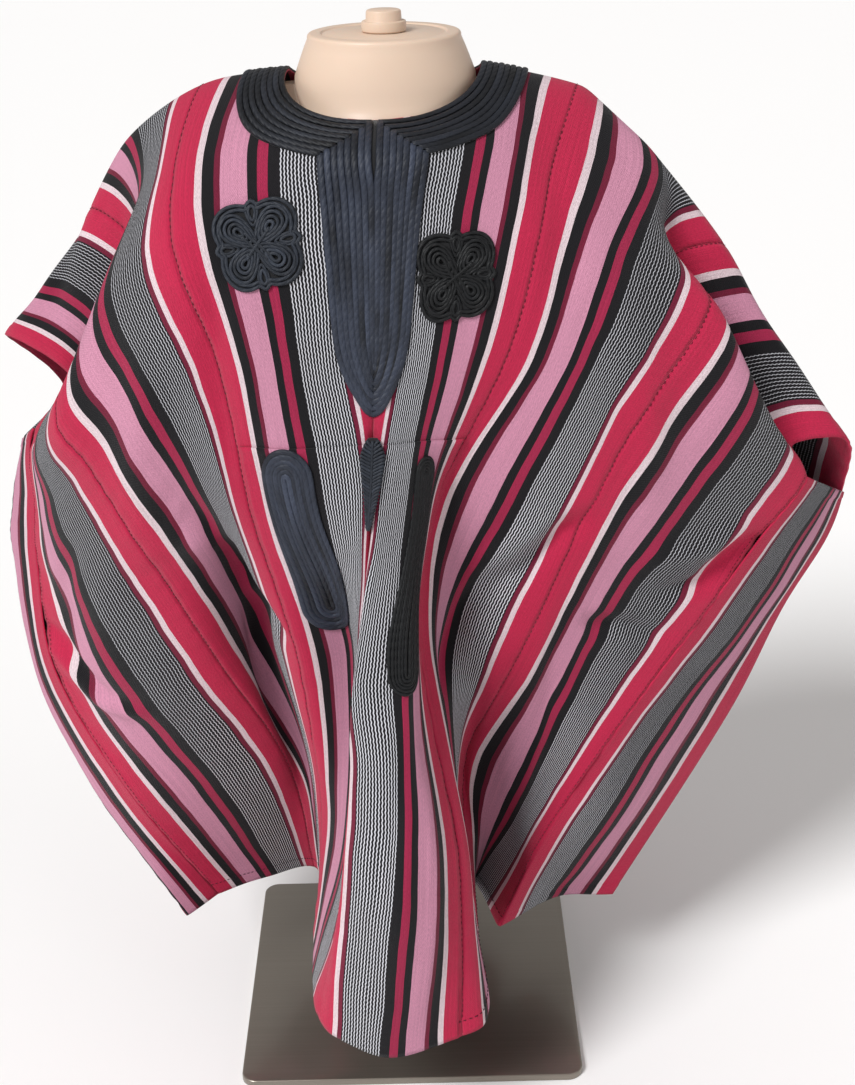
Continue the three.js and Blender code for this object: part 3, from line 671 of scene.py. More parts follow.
# ------------------------------------------------------------------ finishes
DYES = dict(red=paint(190, 34, 73), white=paint(224, 204, 210), black=paint(15, 13, 18),
            wine=paint(112, 20, 50), pink=paint(204, 140, 166), rose=paint(160, 34, 72),
            pin=paint(219, 220, 227))
# The warp of one strip: where each band starts, as a share of the width.
BANDS = ((0, "red"), (0.134, "white"), (0.172, "black"), (0.237, "wine"), (0.269, "pink"),
         (0.403, "black"), (0.455, "rose"), (0.51, "black"), (0.806, "wine"),
         (0.833, "white"), (0.866, "red"))
PIN_FIELD = (0.568, 0.806)    # where fine white ends cross the black
PIN_ENDS = 14
PIN_EDGES = (0.28, 0.72)      # where a white end fades in on its wave
PIN_SIDE_SHADE = dict(start=0.08, end=0.19, by=0.34)   # painted shade: the white ends thin out between these metres from the middle, and by how much
ZIGZAG = dict(pitch=0.0042, reach=0.09, slip=9.0)   # the small waves of the white ends
WANDER = 0.03                 # how far the bands drift, as a share of the width
ENDS = 190                    # warp ends in a strip
PICK = 0.0011                 # one pick of weft along the cloth, metres


def shade_pins_at_sides(tree):
    """Painted shade: the white ends are drawn thinner away from the middle than beside the bib,
    so the pin fields darken towards the sides.
    """
    from_middle = split(object_place(tree))[0].put("ABSOLUTE")
    return ranged(from_middle, PIN_SIDE_SHADE["start"], PIN_SIDE_SHADE["end"], 0.0, PIN_SIDE_SHADE["by"])


def warp_bands(place):
    """The dye of the band at this share of a strip's width."""
    node = place.tree.nodes.new("ShaderNodeValToRGB")
    node.color_ramp.interpolation = "CONSTANT"
    stops = node.color_ramp.elements
    while len(stops) < len(BANDS):
        stops.new(0.5)
    for stop, (start, dye) in zip(stops, BANDS):
        stop.position = start
    for stop, (start, dye) in zip(stops, BANDS):
        stop.color = DYES[dye]
    feed(node, (0,), place)
    return Value(place.tree, node.outputs[0])


def pin_lines(place, along):
    """1 on the fine white ends, which wave from side to side and lose step with each other."""
    low, high = PIN_FIELD
    tree = place.tree
    count = (place - low) * (PIN_ENDS / (high - low))
    slip = noise(tree, placed(tree, count.put("FLOOR"), along * 6), 0.37, 1) * ZIGZAG["slip"]
    wave = (along * (2 * math.pi / ZIGZAG["pitch"]) + slip).put("SINE")
    crest = ((count + wave * ZIGZAG["reach"] - 0.5) * (2 * math.pi)).put("COSINE")
    # painted shade: thinner white ends towards the sides
    side_shade = shade_pins_at_sides(tree)
    line = ranged(crest, *(side_shade + edge for edge in PIN_EDGES))
    return line * place.put("GREATER_THAN", low) * place.put("LESS_THAN", high)


def striped_cloth():
    """Hand-woven cotton: banded warp, uneven yarns, rubbed places and a plain weave."""
    material, tree, shader = new_material(
        "striped_cloth", Roughness=0.82, Sheen_Weight=0.1, Sheen_Roughness=0.45,
        Specular_IOR_Level=0.25)
    across, along = weave_place(tree)
    place = across + (streaks(across * 2, along * 16, 2) - 0.5) * WANDER
    colour = mixed(tree, "MIX", pin_lines(place, along), warp_bands(place), DYES["pin"])
    ends = across * ENDS
    shaded = use_group(tree, YARN_SHADE, Color=colour, Ends=ends, Along=along, Yarns=0.5,
                       Flecks=0.65)
    worn = use_group(tree, RUB, Size=7.0, Softness=0.3)
    faded = mixed(tree, "MULTIPLY", worn * 0.12, shaded, (0.45, 0.45, 0.45, 1))
    feed(shader, ("Base Color",), faded)
    height = use_group(tree, PLAIN_WEAVE, Ends=ends, Picks=along / PICK)
    slub = streaks(across * 60, along * 160, 3)
    bumped(shader, slub * 0.9 + height, 0.0005, 0.8)
    return material


def couched_cord(name, dye, strands, tone):
    """Soft black-blue cord: fine strands along it with a slight twist; rows differ in tone."""
    material, tree, shader = new_material(
        name, Roughness=0.52, Sheen_Weight=0.03, Sheen_Roughness=0.35, Specular_IOR_Level=0.3)
    around, along = weave_place(tree)
    twist = along * 140 + around * strands
    strand = (twist * math.pi).put("SINE").put("ABSOLUTE")
    row = ((around + 1) / CORD_APART).put("FLOOR")
    level = ranged(streaks(row * 3.7, along * 14, 2), 0.3, 0.7, 1 - tone, 1 + tone)
    shaded = use_group(tree, YARN_SHADE, Color=toned(level, dye), Ends=around * 16,
                       Along=along, Yarns=0.7, Flecks=0.9)
    feed(shader, ("Base Color",), shaded)
    fuzz = streaks(around * 20, along * 700, 2)
    bumped(shader, fuzz * 0.8 + strand, 0.00035, 0.8)
    return material


def gap_shade_material():
    """The near-black sheet under the cords, painted shade for the gaps between them."""
    material, tree, shader = new_material("cord_gap_painted_shade", Roughness=0.9, Sheen_Weight=0.2)
    across, along = weave_place(tree)
    ends = across * 900
    shaded = use_group(tree, YARN_SHADE, Color=paint(12, 13, 17), Ends=ends, Along=along,
                       Yarns=0.4, Flecks=0.5)
    feed(shader, ("Base Color",), shaded)
    bumped(shader, use_group(tree, PLAIN_WEAVE, Ends=ends, Picks=along * 900), 0.0003, 0.7)
    return material


def form_shell():
    """Moulded cream shell with a faint orange-peel skin and a little handling shine."""
    material, tree, shader = new_material("form_shell", Specular_IOR_Level=0.45,
                                          Subsurface_Weight=0.04)
    worn = use_group(tree, RUB, Size=18.0, Softness=0.25)
    cream = mixed(tree, "MIX", worn * 0.35, paint(218, 194, 174), paint(206, 179, 156))
    feed(shader, ("Base Color", "Roughness"), cream, ranged(worn, 0.0, 1.0, 0.36, 0.5))
    bumped(shader, noise(tree, object_place(tree), 900, 2), 0.00008, 0.5)
    return material


def stand_metal(name, colour, rough, grain_turn):
    """Brushed and lacquered metal; grain_turn swings the brushing round the upright."""
    material, tree, shader = new_material(name, Metallic=0.75, Coat_Weight=0.35,
                                          Coat_Roughness=0.12)
    stretch = tree.nodes.new("ShaderNodeMapping")
    feed(stretch, ("Vector", "Rotation", "Scale"), object_place(tree), (0, 0, grain_turn),
         (3, 900, 900))
    grain = noise(tree, Value(tree, stretch.outputs[0]), 1.0, 3)
    worn = use_group(tree, RUB, Size=11.0, Softness=0.3)
    brushed = mixed(tree, "MIX", grain * 0.4, colour, paint(160, 155, 145))
    feed(shader, ("Base Color", "Roughness"), brushed, worn * 0.1 + rough)
    bumped(shader, grain, 0.00003, 0.5)
    return material


CLOTH_FINISH = striped_cloth()
CORD_FINISH = couched_cord("couched_cord", paint(39, 44, 56), 3, 0.9)
COLLAR_FINISH = couched_cord("collar_cord", paint(24, 27, 34), 3, 0.8)
KNOT_FINISH = couched_cord("knot_cord", paint(36, 41, 50), 3, 0.5)
# painted shade: a near-black copy of the cord, for the rosette and pocket mouth on the wearer's
# left, which hang in shade
CORD_IN_SHADE_FINISH = couched_cord("cord_in_painted_shade", paint(10, 12, 15), 3, 0.3)
THREAD_FINISH = couched_cord("seam_thread", paint(104, 14, 40), 2, 0.3)
DARK_THREAD = couched_cord("hem_thread", paint(40, 22, 34), 2, 0.3)
# painted shade: the near-black sheet under the cords
GAP_SHADE_FINISH = gap_shade_material()
SHELL_FINISH = form_shell()
PLATE_FINISH = stand_metal("plate_metal", paint(132, 124, 114), 0.3, 0.0)
POLE_FINISH = stand_metal("pole_metal", paint(150, 146, 138), 0.25, math.pi / 2)


# ------------------------------------------------------------------ cloth
ROW_STEP = 4                 # between rows of points along the cloth
STRIP_COLUMNS = 36           # faces across one strip
MIRRORED = (0,)              # the strips that were laid the other way round, by their low edge


def neck_reach(v):
    """How far the neck hole reaches from the centre line at v, in strips."""
    depth = np.where(v < 0, NECK["drop"], NECK["rise"])
    share = np.minimum(np.abs(v) / depth, 1)
    square = NECK["squareness"]
    return NECK["half"] * (1 - share ** square) ** (1 / square) / STRIP


def neck_line(out, angle):
    """The neck hole moved outward; the angle runs from the front centre to the wearer's left."""
    power = 2 / NECK["squareness"]
    across, front = np.sin(angle), np.cos(angle)
    depth = np.where(front > 0, NECK["drop"], NECK["rise"]) + out
    return np.stack([(NECK["half"] + out) * np.sign(across) * np.abs(across) ** power,
                     -depth * np.sign(front) * np.abs(front) ** power], axis=-1)


def hemmed(distance):
    """Thickness of the cloth at this distance from a turned edge."""
    return CLOTH + TURNED * (1 - smooth_step(HEM - 1.5, HEM, distance))


def strip_piece(name, low, node):
    """One woven strip from front hem to back hem."""
    neck_rows = np.linspace(-NECK["drop"], NECK["rise"], 41)
    v = np.unique(np.round(np.concatenate([
        np.arange(-FRONT_LENGTH, BACK_LENGTH, ROW_STEP), [BACK_LENGTH], neck_rows]), 2))
    left, right = np.full(len(v), float(low)), np.full(len(v), low + 1.0)
    if low == 0:
        left = np.maximum(left, neck_reach(v))
    if low == -1:
        right = np.minimum(right, -neck_reach(v))
    share = np.linspace(0, 1, STRIP_COLUMNS + 1)
    u = left[:, None] + (right - left)[:, None] * share
    vv = np.repeat(v[:, None], len(share), axis=1)
    place = u - low
    if low in MIRRORED:
        place = 1 - place
    ends = np.minimum(vv + FRONT_LENGTH, BACK_LENGTH - vv)
    cuff = (SIDE_SEAM - np.abs(u)) * STRIP + 1e3 * ((vv < -ARMHOLE_FRONT) | (vv > ARMHOLE_BACK))
    thick = hemmed(np.minimum(ends, cuff))
    uvs = np.stack([place, (vv + FRONT_LENGTH) * MM], axis=2)
    piece = laid_wall(name, np.stack([u * STRIP, vv], axis=2), 0.0, thick, uvs, CLOTH_FINISH)
    fitted(piece, node)
    cut = (STRIP * MM, (FRONT_LENGTH + BACK_LENGTH) * MM)
    hole = np.linspace(-NECK["drop"], NECK["rise"], 400)
    neck_cut = neck_reach(hole).mean() * (hole[-1] - hole[0]) * STRIP * MM ** 2
    cut[0] * cut[1] - (neck_cut if low in (-1, 0) else 0)


GORE_RIPPLES = dict(right=0, left=300, length=640, share=0.9)   # the two gores differ


def gore_relief(side, w, s):
    x = (w - 0.5) * GORE["top"] + GORE_RIPPLES[side]
    return GORE_RIPPLES["share"] * loom_relief(x, GORE_RIPPLES["length"] * s)


def gore_at(side, w, s):
    """Points and normals of a gore; its ripples die out at its two seams."""
    surface = gore_surface(side)
    normals = outward(surface, w, s, 0.01, 0.01) * (-1 if side == "right" else 1)
    out = gore_relief(side, w, s) * np.sin(np.pi * np.clip(w, 0, 1))
    return surface(w, s) + normals * out[:, None], normals


def gore_piece(name, side, node):
    """One tapered gore, from its front seam round the side to its back seam."""
    length = FRONT_LENGTH - ARMHOLE_FRONT
    s = np.linspace(0, 1, length // ROW_STEP + 1)
    w = np.linspace(0, 1, STRIP_COLUMNS + 1)
    if side == "right":
        w = w[::-1]
    ss, ww = np.meshgrid(s, w, indexing="ij")
    points, normals = gore_at(side, ww.ravel(), ss.ravel())
    place = 1 - ww if side == "left" else ww
    uvs = np.stack([place, ss * length * MM], axis=2)
    ends = np.minimum(ss, 1 - ss) * length
    shape = ss.shape + (3,)
    piece = wall_piece(name, points.reshape(shape), normals.reshape(shape), hemmed(ends), uvs,
                       CLOTH_FINISH)
    fitted(piece, node)


def pocket_piece():
    """A second layer on the front, from its top seam to the hem, with that seam turned under."""
    reach = STRIP - POCKET["inset"]
    x = np.linspace(-reach, reach, 2 * STRIP_COLUMNS - 1)
    y = np.arange(-FRONT_LENGTH, POCKET["top"] + 1, ROW_STEP)
    yy, xx = np.meshgrid(y, x, indexing="ij")
    place = np.where(xx < 0, xx / STRIP + 1, 1 - xx / STRIP)
    uvs = np.stack([place, (yy + FRONT_LENGTH) * MM], axis=2)
    thick = POCKET["thick"] + 0.5 * (1 - smooth_step(6, 7.5, POCKET["top"] - yy))
    piece = laid_wall("pocket_layer", np.stack([xx, yy], axis=2), CLOTH / 2 + POCKET["lift"],
                      thick, uvs, CLOTH_FINISH)
    fitted(piece, "front_pocket")


for low, place in enumerate(("right_outer", "right_middle", "right_centre", "left_centre",
                             "left_middle", "left_outer"), -SIDE_SEAM):
    strip_piece("cloth_" + place, low, "strip_" + place)
for side in ("right", "left"):
    gore_piece("cloth_gore_" + side, side, "gore_" + side)
pocket_piece()

# ------------------------------------------------------------------ couched cord work
ON_CLOTH = CLOTH / 2
ON_POCKET = CLOTH / 2 + POCKET["lift"] + POCKET["thick"] / 2
UNEVEN = (0.5, 0.85, 0.6, 1.05, 0.7, 1.0, 0.55, 0.85)   # some rows stand prouder


def cord_work(name, node, paths, finish, sides=8):
    """All the cords of one motif as a piece."""
    fitted(cord_piece(name, paths, finish, sides), node)


def gap_shade_sheet(name, grid, lift, thick, creased=1.0):
    """A thin near-black layer under the cords, painted shade for the gaps between them; grid is
    rows x columns x 2 flat points.
    """
    piece = laid_wall(name, grid, lift + thick / 2, thick, grid * MM, GAP_SHADE_FINISH, creased)
    fitted(piece)


def bib_offset(row):
    """How far a row of the bib's cord lies from its middle."""
    return CORD * (row + 0.5)


def collar_line(row):
    """A row of the collar, from its mitre with the bib round the neck to the other side."""
    out = COLLAR_CORD * (row + 0.5)
    from_middle = bib_offset(row) / (NECK["half"] + out)
    start = math.asin(from_middle ** (NECK["squareness"] / 2))
    return neck_line(out, np.linspace(start, 2 * math.pi - start, 160))


def bib_line(row):
    """A row of the bib: down one side, round the foot and up the other side."""
    out = bib_offset(row)
    top = collar_line(row)[0, 1]
    share = out / BIB["half"]
    foot = BIB["foot"] * share
    deep = BIB["shoulder"] - BIB["tip"] - (BIB["half"] - out)
    side_y = np.linspace(top, BIB["shoulder"], 40)
    side_x = out + (foot - out) * (top - side_y) / (top - BIB["shoulder"])
    open_from, open_by = SLIT["foot"], SLIT["foot"] + SLIT["opening"]
    side_x += SLIT["gape"] * smooth_step(open_from, open_by, side_y) * (1 - share)
    turn = np.linspace(0, math.pi, 40)[1:-1]
    round_x, round_y = foot * np.cos(turn), BIB["shoulder"] - deep * np.sin(turn)
    return np.concatenate([np.stack([side_x, side_y], axis=1),
                           np.stack([round_x, round_y], axis=1),
                           np.stack([-side_x, side_y], axis=1)[::-1]])


def collar_ground():
    """Near-black sheet under the rows of the collar, from its outer edge in to the neck hole:
    painted shade for the gaps between the cords.
    """
    rows = COLLAR_CORD * np.linspace(CORD_ROWS, 0, 9)
    angle = np.linspace(0, 2 * math.pi, 121)
    grid = np.stack([neck_line(out, angle) for out in rows])
    gap_shade_sheet("collar_ground", grid, ON_CLOTH - 0.1, 0.7)


def bib_ground():
    """Near-black sheet under the rows of the bib, from its tip up to the neck hole: painted shade
    for the gaps between the cords.
    """
    y = np.linspace(BIB["tip"] + 1, -NECK["drop"] - 1, 58)
    below = np.clip((BIB["shoulder"] - y) / (BIB["shoulder"] - BIB["tip"]), 0, 1)
    rise = np.clip((y - BIB["shoulder"]) / (-NECK["drop"] - BIB["shoulder"]), 0, 1)
    half = (BIB["foot"] + (BIB["half"] - BIB["foot"]) * rise) * np.sqrt(1 - below ** 2)
    gap_shade_sheet("bib_ground", spread(half, y, 19), ON_CLOTH - 0.1, 0.9)


def collar_and_bib():
    """The neck band and the V bib, whose rows meet in a mitre on both sides of the slit."""
    wide, high = 1.2, 2.6
    collar = [cord_path(collar_line(row), wide * COLLAR_CORD, high, ON_CLOTH + UNEVEN[row])
              for row in range(CORD_ROWS)]
    cord_work("collar_cords", "collar", collar, COLLAR_FINISH)
    bib = [cord_path(bib_line(row), wide * CORD, high, ON_CLOTH + UNEVEN[-1 - row])
           for row in range(CORD_ROWS)]
    cord_work("bib_cords", "bib", bib, CORD_FINISH)
    collar_ground()
    bib_ground()


def lobed_outline(angle):
    """Four broad lobes on the diagonals and four small ones between, as a share of radius."""
    lobe = 0.28
    broad = 1 - lobe + lobe * np.abs(np.sin(2 * angle)) ** 1.2
    to_axis = np.abs((angle + math.pi / 4) % (math.pi / 2) - math.pi / 4)
    return np.maximum(broad, 0.88 - 6.5 * to_axis ** 2)


def petal(middle, turn, half_long, half_wide):
    """A closed teardrop loop whose point looks to the rosette's middle."""
    t = np.linspace(0, 2 * math.pi, 36, endpoint=False)
    along = -np.cos(t) * half_long
    across = np.sin(t) * half_wide * (0.72 - 0.28 * np.cos(t))
    x = middle * math.cos(turn) + along * math.cos(turn) - across * math.sin(turn)
    y = middle * math.sin(turn) + along * math.sin(turn) + across * math.cos(turn)
    return np.stack([x, y], axis=1)


def rosette(name, node, centre, radius, turn, finish):
    """A knot of couched cord over a lobed near-black sheet, painted shade between the cords: a
    double edge, loops within loops on the diagonals, small loops between them, and short bars
    across the middle."""
    centre = np.array(centre, float)
    stretch = np.array(radius, float)
    angle = np.linspace(0, 2 * math.pi, 120, endpoint=False)
    paths = []

    def lay(shape, width, height, lift, closed=True):
        flat = centre + shape * stretch
        paths.append(cord_path(flat, width, height, ON_CLOTH + lift, closed, 1.6))

    for share, lift in ((0.955, 0.5), (0.855, 0.8)):
        reach = lobed_outline(angle) * share
        lay(np.stack([reach * np.cos(angle + turn), reach * np.sin(angle + turn)], axis=1),
            3.0, 2.6, lift)
    for k in range(4):
        diagonal = turn + math.pi / 4 + k * math.pi / 2
        for size, lift in ((1, 1.4), (0.76, 1.8), (0.52, 2.0), (0.28, 2.1)):
            lay(petal(0.42, diagonal + 0.05 * (k % 2), 0.4 * size, 0.33 * size), 2.8, 2.4,
                lift + 0.3 * (k % 2))
        for size, lift in ((1, 0.9), (0.6, 1.2)):
            lay(petal(0.6, turn + k * math.pi / 2, 0.24 * size, 0.15 * size), 2.4, 2.0, lift)
        bar = np.array([(-0.24, -0.24), (0.24, 0.24)])
        bar = bar * (1, 1 if k % 2 else -1) + 0.035 * (k - 1.5)
        lay(bar, 2.8, 2.2, 2.6 + 0.2 * (k % 2), closed=False)
    cord_work(name, node, paths, finish)
    # the near-black sheet under the cords: painted shade for the gaps between them
    cells = np.linspace(-1, 1, 25)
    aa, bb = np.meshgrid(cells, cells, indexing="ij")
    across, along = bb * np.sqrt(1 - aa ** 2 / 2), aa * np.sqrt(1 - bb ** 2 / 2)
    reach = lobed_outline(np.arctan2(along, across) - turn)
    flat = np.stack([centre[0] + stretch[0] * reach * across,
                     centre[1] + stretch[1] * reach * along], axis=2)
    gap_shade_sheet(name.replace("cords", "ground"), flat, ON_CLOTH, 1.1)


def mouth_middle(mouth, y):
    """Across the cloth at y: the middle of a pocket mouth, bent a little like an S."""
    t = (mouth["top"] - y) / (mouth["top"] - mouth["bottom"])
    lean = mouth["top_x"] + (mouth["bottom_x"] - mouth["top_x"]) * t
    return mouth["side"] * (lean + mouth["sway"] * np.sin(2 * math.pi * t))


def mouth_width(mouth, y):
    """How much wider than at its top a pocket mouth is at y."""
    t = np.clip((mouth["top"] - y) / (mouth["top"] - mouth["bottom"]), 0, 1)
    return 1 + mouth["flare"] * smooth_step(0.3, 0.9, t)


def mouth_line(mouth, inset):
    """One oval row of cord round a pocket mouth."""
    top, bottom = mouth["top"], mouth["bottom"]
    radius = mouth["radius"] - inset
    arc = np.linspace(0, math.pi, 16)
    first = np.stack([-radius * np.cos(arc), top - inset - radius * (1 - np.sin(arc))], axis=1)
    down = np.linspace(first[-1, 1], bottom + inset + radius, 24)[1:-1]
    loop = np.concatenate([first, np.stack([np.full(22, radius), down], axis=1)])
    loop = np.concatenate([loop, np.stack([-loop[:, 0], top + bottom - loop[:, 1]], axis=1)])
    y = loop[:, 1]
    return np.stack([mouth_middle(mouth, y) + loop[:, 0] * mouth_width(mouth, y), y], axis=1)


def pocket_mouth(name, node, mouth, finish):
    """Six oval rows of cord, one within the other, over a near-black sheet that paints the shade
    between them.
    """
    pitch = mouth["radius"] / 6.2
    paths = [cord_path(mouth_line(mouth, pitch * (row + 0.5)),
                       pitch * (1.15 + 0.5 * mouth["flare"]), 2.6,
                       ON_POCKET + 0.45 + 0.3 * (row % 2), True, 2.2) for row in range(6)]
    cord_work(name, node, paths, finish)
    y = np.linspace(mouth["bottom"] + 2, mouth["top"] - 2, 34)
    end = np.minimum(y - mouth["bottom"], mouth["top"] - y)
    inside = np.minimum(end, mouth["radius"])
    half = np.sqrt(mouth["radius"] ** 2 - (mouth["radius"] - inside) ** 2) - 1
    flat = spread(half * mouth_width(mouth, y), y, 13, mouth_middle(mouth, y)[:, None])
    gap_shade_sheet(name.replace("cords", "ground"), flat, ON_POCKET - 0.3, 0.9)


def teardrop():
    """A small badge: a rib of cord with slanting satin stitches to each side."""
    length = BADGE["top"] - BADGE["bottom"]

    def half_at(t):
        return BADGE["half"] * np.sqrt(np.minimum(t * 5 + 0.12, 1)) * (1 - 0.85 * t ** 2.2)
    clear = ON_POCKET + 0.1          # it bridges the pleat
    paths = [cord_path(np.array([(0, BADGE["top"] - 2), (0, BADGE["bottom"] + 1)]), 2.4, 2.6,
                       clear + 0.7, creased=0)]
    for k in range(26):
        t = 0.02 + 0.93 * k / 25
        y = BADGE["top"] - length * t
        reach = float(half_at(np.array(t)))
        for side in (-1, 1):
            stitch = np.array([(0.2 * side, y - 5.5), (reach * side, y)])
            stitch[:, 1] = np.maximum(stitch[:, 1], BADGE["bottom"])
            paths.append(cord_path(stitch, 2.5, 2.4, clear + 0.3 + 0.2 * (k % 2), creased=0))
    cord_work("teardrop_cords", "teardrop_badge", paths, KNOT_FINISH, 6)
    # the near-black sheet under the stitches: painted shade for the gaps between them
    t = np.linspace(0, 1, 20)
    flat = spread(half_at(t), BADGE["top"] - length * t, 7)
    gap_shade_sheet("teardrop_ground", flat[::-1], clear - 0.4, 0.9, 0)


collar_and_bib()
rosette("rosette_cords_right", "rosette_right", (-79, -158), (36, 38.5), 0.06, KNOT_FINISH)
# the rosette on the wearer's left takes the near-black copy of the cord: painted shade
rosette("rosette_cords_left", "rosette_left", (72, -185), (42, 38), 0.2, CORD_IN_SHADE_FINISH)
pocket_mouth("mouth_cords_right", "pocket_trim_right", MOUTH_RIGHT, CORD_FINISH)
# the pocket mouth on the wearer's left takes the near-black copy of the cord: painted shade
pocket_mouth("mouth_cords_left", "pocket_trim_left", MOUTH_LEFT, CORD_IN_SHADE_FINISH)
teardrop()

# ------------------------------------------------------------------ sewing
STITCH = dict(length=2.6, gap=2.4, wide=0.6, high=0.7)


def stitch_paths(place, total, lift):
    """Running stitches along a line; place gives points and normals for distances along."""
    pitch = STITCH["length"] + STITCH["gap"]
    paths = []
    for k in range(int(total / pitch)):
        at = k * pitch + STITCH["gap"] / 2
        where = np.linspace(at, at + STITCH["length"], 3)
        points, normals = place(where, lift)
        points = points + normals * (np.array([-0.5, 0, -0.5]) * STITCH["high"])[:, None]
        paths.append(dict(points=points, normals=normals, width=STITCH["wide"],
                          height=STITCH["high"], closed=False))
    return paths


def seam_down(x):
    """Places along the warp at x, from the front hem to the back hem."""
    def place(where, lift):
        flat = np.stack([x + 0.5 * np.sin(where / 23), where - FRONT_LENGTH], axis=1)
        return on_body(flat, lift)
    return place


def line_across(y, start):
    """Places across the warp at y, from start to the wearer's left."""
    def place(where, lift):
        return on_body(np.stack([start + where, np.full(len(where), float(y))], axis=1), lift)
    return place


def sewing():
    """Running stitches down the joins of the strips, by the gores and along both hems."""
    top = CLOTH / 2 + 0.05
    length = FRONT_LENGTH + BACK_LENGTH
    seams = []
    for u in (-2, -1, 1, 2):
        seams += stitch_paths(seam_down(u * STRIP), length, top)
    inset = 2.5
    for side in (-1, 1):
        seams += stitch_paths(seam_down(side * (SIDE_SEAM * STRIP - inset)),
                              FRONT_LENGTH - ARMHOLE_FRONT, top)
    seam_piece = cord_piece("seam_stitches", seams, THREAD_FINISH, 5)
    full = 2 * SIDE_SEAM * STRIP
    hems = []
    over = CLOTH / 2 + 0.6
    for y in (-FRONT_LENGTH + HEM - 2, BACK_LENGTH - HEM + 2):
        hems += stitch_paths(line_across(y, -full / 2), full, over)
    hem_piece = cord_piece("hem_stitches", hems, DARK_THREAD, 5)
    for piece in (seam_piece, hem_piece):
        fitted(piece)


sewing()

# ------------------------------------------------------------------ dress form and stand
def select_edges(test):
    """In edit mode, selects only the edges whose two ends pass the test."""
    bpy.ops.mesh.select_mode(type="EDGE")
    bpy.ops.mesh.select_all(action="DESELECT")
    bpy.ops.object.mode_set(mode="OBJECT")
    mesh = bpy.context.object.data
    for edge in mesh.edges:
        edge.select = test(*(mesh.vertices[k].co for k in edge.vertices))
    bpy.ops.object.mode_set(mode="EDIT")


def finished(name, node, material, angle=35):
    """Names, smooths and dresses the piece that has just been modelled."""
    piece = bpy.context.object
    piece.name = piece.data.name = name
    bpy.ops.object.transform_apply(location=True, rotation=True, scale=True)
    bpy.ops.object.shade_smooth_by_angle(angle=math.radians(angle))
    piece.data.materials.clear()
    piece.data.materials.append(material)
    fitted(piece, node)


def round_ring(radius, up, back=0):
    """A round ring for stacked()."""
    return (up, radius, radius, back)


def stacked(rings, sides):
    """A closed body drawn up from its lowest ring by extruding and resizing its top face.
    A ring is how far up it lies, half its width, half its depth, and how far back."""
    up, half, deep, back = rings[0]
    centre = (0, back * MM, up * MM)
    bpy.ops.object.select_all(action="DESELECT")
    bpy.ops.mesh.primitive_circle_add(vertices=sides, radius=half * MM, fill_type="NGON",
                                      location=centre)
    bpy.ops.object.transform_apply(location=True, rotation=True, scale=True)
    bpy.ops.object.mode_set(mode="EDIT")
    bpy.ops.mesh.select_all(action="SELECT")
    bpy.ops.transform.resize(value=(1, deep / half, 1), center_override=centre)
    for ring in rings[1:]:
        last_up, last_half, last_deep, last_back = up, half, deep, back
        up, half, deep, back = ring
        move = (0, (back - last_back) * MM, (up - last_up) * MM)
        bpy.ops.mesh.extrude_region_move(TRANSFORM_OT_translate={"value": move})
        bpy.ops.transform.resize(value=(half / last_half, deep / last_deep, 1),
                                 center_override=(0, back * MM, up * MM))
    bpy.ops.mesh.select_all(action="SELECT")
    bpy.ops.mesh.normals_make_consistent(inside=False)
    bpy.ops.object.mode_set(mode="OBJECT")


def dress_form():
    """The moulded body, clear inside the cloth."""
    clear = 0.8
    stacked([(up, half - clear, deep - clear, back) for up, half, deep, back in TORSO], 96)
    finished("dress_form", "form_torso", SHELL_FINISH)


def form_neck():
    """The neck with its round cap: a rolled rim, a shallow groove and a flat face."""
    radius, top, groove = NECK_CAP["radius"] - 0.1, NECK_CAP["top"], NECK_CAP["ring"]
    rim = [round_ring(radius, top - NECK_CAP["lip"]), round_ring(radius, top - 2.4),
           round_ring(radius - 0.5, top - 1.2), round_ring(radius - 1.4, top - 0.4),
           round_ring(radius - 2.8, top)]
    face = [round_ring(groove + 1.5, top), round_ring(groove, top - 1.2),
            round_ring(groove - 2, top - 1.2), round_ring(groove - 3.4, top - 0.4),
            round_ring(10, top - 0.4)]
    stacked([*FORM_NECK, *rim, *face], 96)
    finished("form_neck", "form_torso", SHELL_FINISH)


def neck_knob():
    """A low drum with a smaller cap on it."""
    foot = NECK_CAP["top"] - 0.4 + GAP
    step, top = foot + KNOB["drum_high"], foot + KNOB["high"]
    drum, cap = KNOB["radius"], KNOB["cap"]
    stacked([round_ring(drum - 1, foot), round_ring(drum, foot + 1), round_ring(drum, step - 1.2),
             round_ring(drum - 0.4, step - 0.3), round_ring(drum - 1.2, step),
             round_ring(cap, step), round_ring(cap - 0.4, step + 0.8),
             round_ring(cap - 0.7, top - 1.6), round_ring(cap - 1.2, top - 0.5),
             round_ring(cap - 2.4, top)], 64)
    finished("neck_knob", "form_knob", SHELL_FINISH)


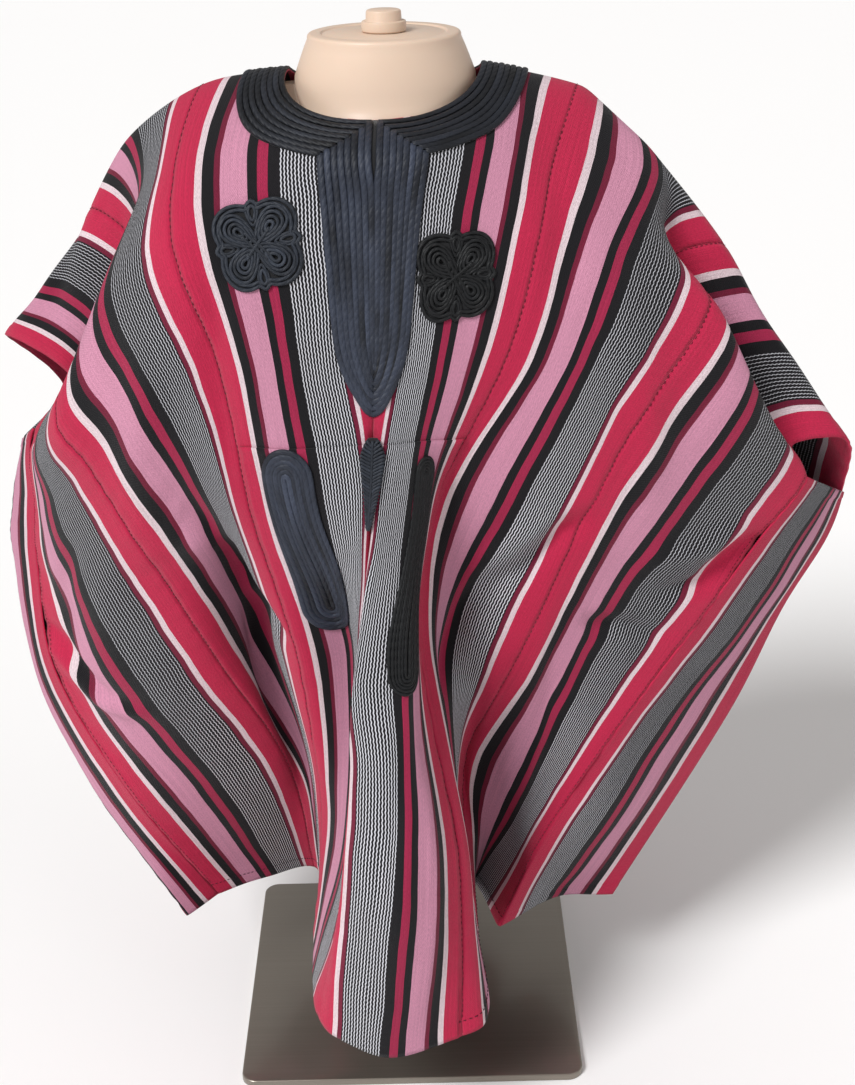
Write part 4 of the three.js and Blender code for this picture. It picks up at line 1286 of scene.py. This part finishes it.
def base_plate():
    """A square plate with round corners and a softened upper edge."""
    side, thick = PLATE["side"] * MM, PLATE["thick"] * MM
    bpy.ops.object.select_all(action="DESELECT")
    bpy.ops.mesh.primitive_cube_add(size=1, location=(0, 0, thick / 2))
    bpy.context.object.scale = (side, side, thick)
    bpy.ops.object.transform_apply(location=True, rotation=True, scale=True)
    bpy.ops.object.mode_set(mode="EDIT")
    select_edges(lambda a, b: abs(a.z - b.z) > thick / 2)
    bpy.ops.mesh.bevel(offset=PLATE["corner"] * MM, segments=10, affect="EDGES")
    select_edges(lambda a, b: min(a.z, b.z) > thick * 0.9)
    bpy.ops.mesh.bevel(offset=1.4 * MM, segments=3, affect="EDGES")
    bpy.ops.object.mode_set(mode="OBJECT")
    finished("stand_plate", "base_plate", PLATE_FINISH, 30)


def stand_pole():
    """A round pole with a turned flange at its foot."""
    form_foot, back = TORSO[0][0], TORSO[0][3]
    foot = PLATE["thick"] + GAP
    shoulder, top = foot + POLE["flange_high"], form_foot - GAP
    flange, radius = POLE["flange"], POLE["radius"]
    stacked([round_ring(flange, foot, back), round_ring(flange, shoulder - 3, back),
             round_ring(flange - 0.8, shoulder - 1.2, back),
             round_ring(flange - 3, shoulder, back), round_ring(radius + 2, shoulder, back),
             round_ring(radius, shoulder + 2.5, back), round_ring(radius, top, back)], 64)
    finished("stand_pole", "pole", POLE_FINISH)


dress_form()
form_neck()
neck_knob()
base_plate()
stand_pole()


# ------------------------------------------------------------------ floor and light
def studio():
    """A pale floor under a broad soft sun, with a weaker one from the other side."""
    bpy.ops.object.select_all(action="DESELECT")
    bpy.ops.mesh.primitive_plane_add(size=60, location=(0, 0, -0.0005))
    floor = bpy.context.object
    floor.name = "studio_floor"
    material = new_material("studio_floor", Base_Color=(0.96, 0.96, 0.96, 1), Roughness=0.7,
                            Specular_IOR_Level=0.2)[0]
    floor.data.materials.append(material)
    for name, turn, strength, soft in (("window", (48, 0, -42), 2.85, 20),
                                       ("room", (52, 0, 48), 0.2, 40)):
        data = bpy.data.lights.new(name, "SUN")
        data.energy = strength
        data.angle = math.radians(soft)
        light = bpy.data.objects.new(name, data)
        light.rotation_euler = [math.radians(x) for x in turn]
        bpy.context.scene.collection.objects.link(light)
    world = bpy.data.worlds.new("studio")
    world.use_nodes = True
    sky = world.node_tree.nodes["Background"]
    sky.inputs["Color"].default_value = (1.0, 0.97, 0.95, 1)
    sky.inputs["Strength"].default_value = 0.42
    bpy.context.scene.world = world
    bpy.context.scene.view_settings.view_transform = "Standard"


studio()
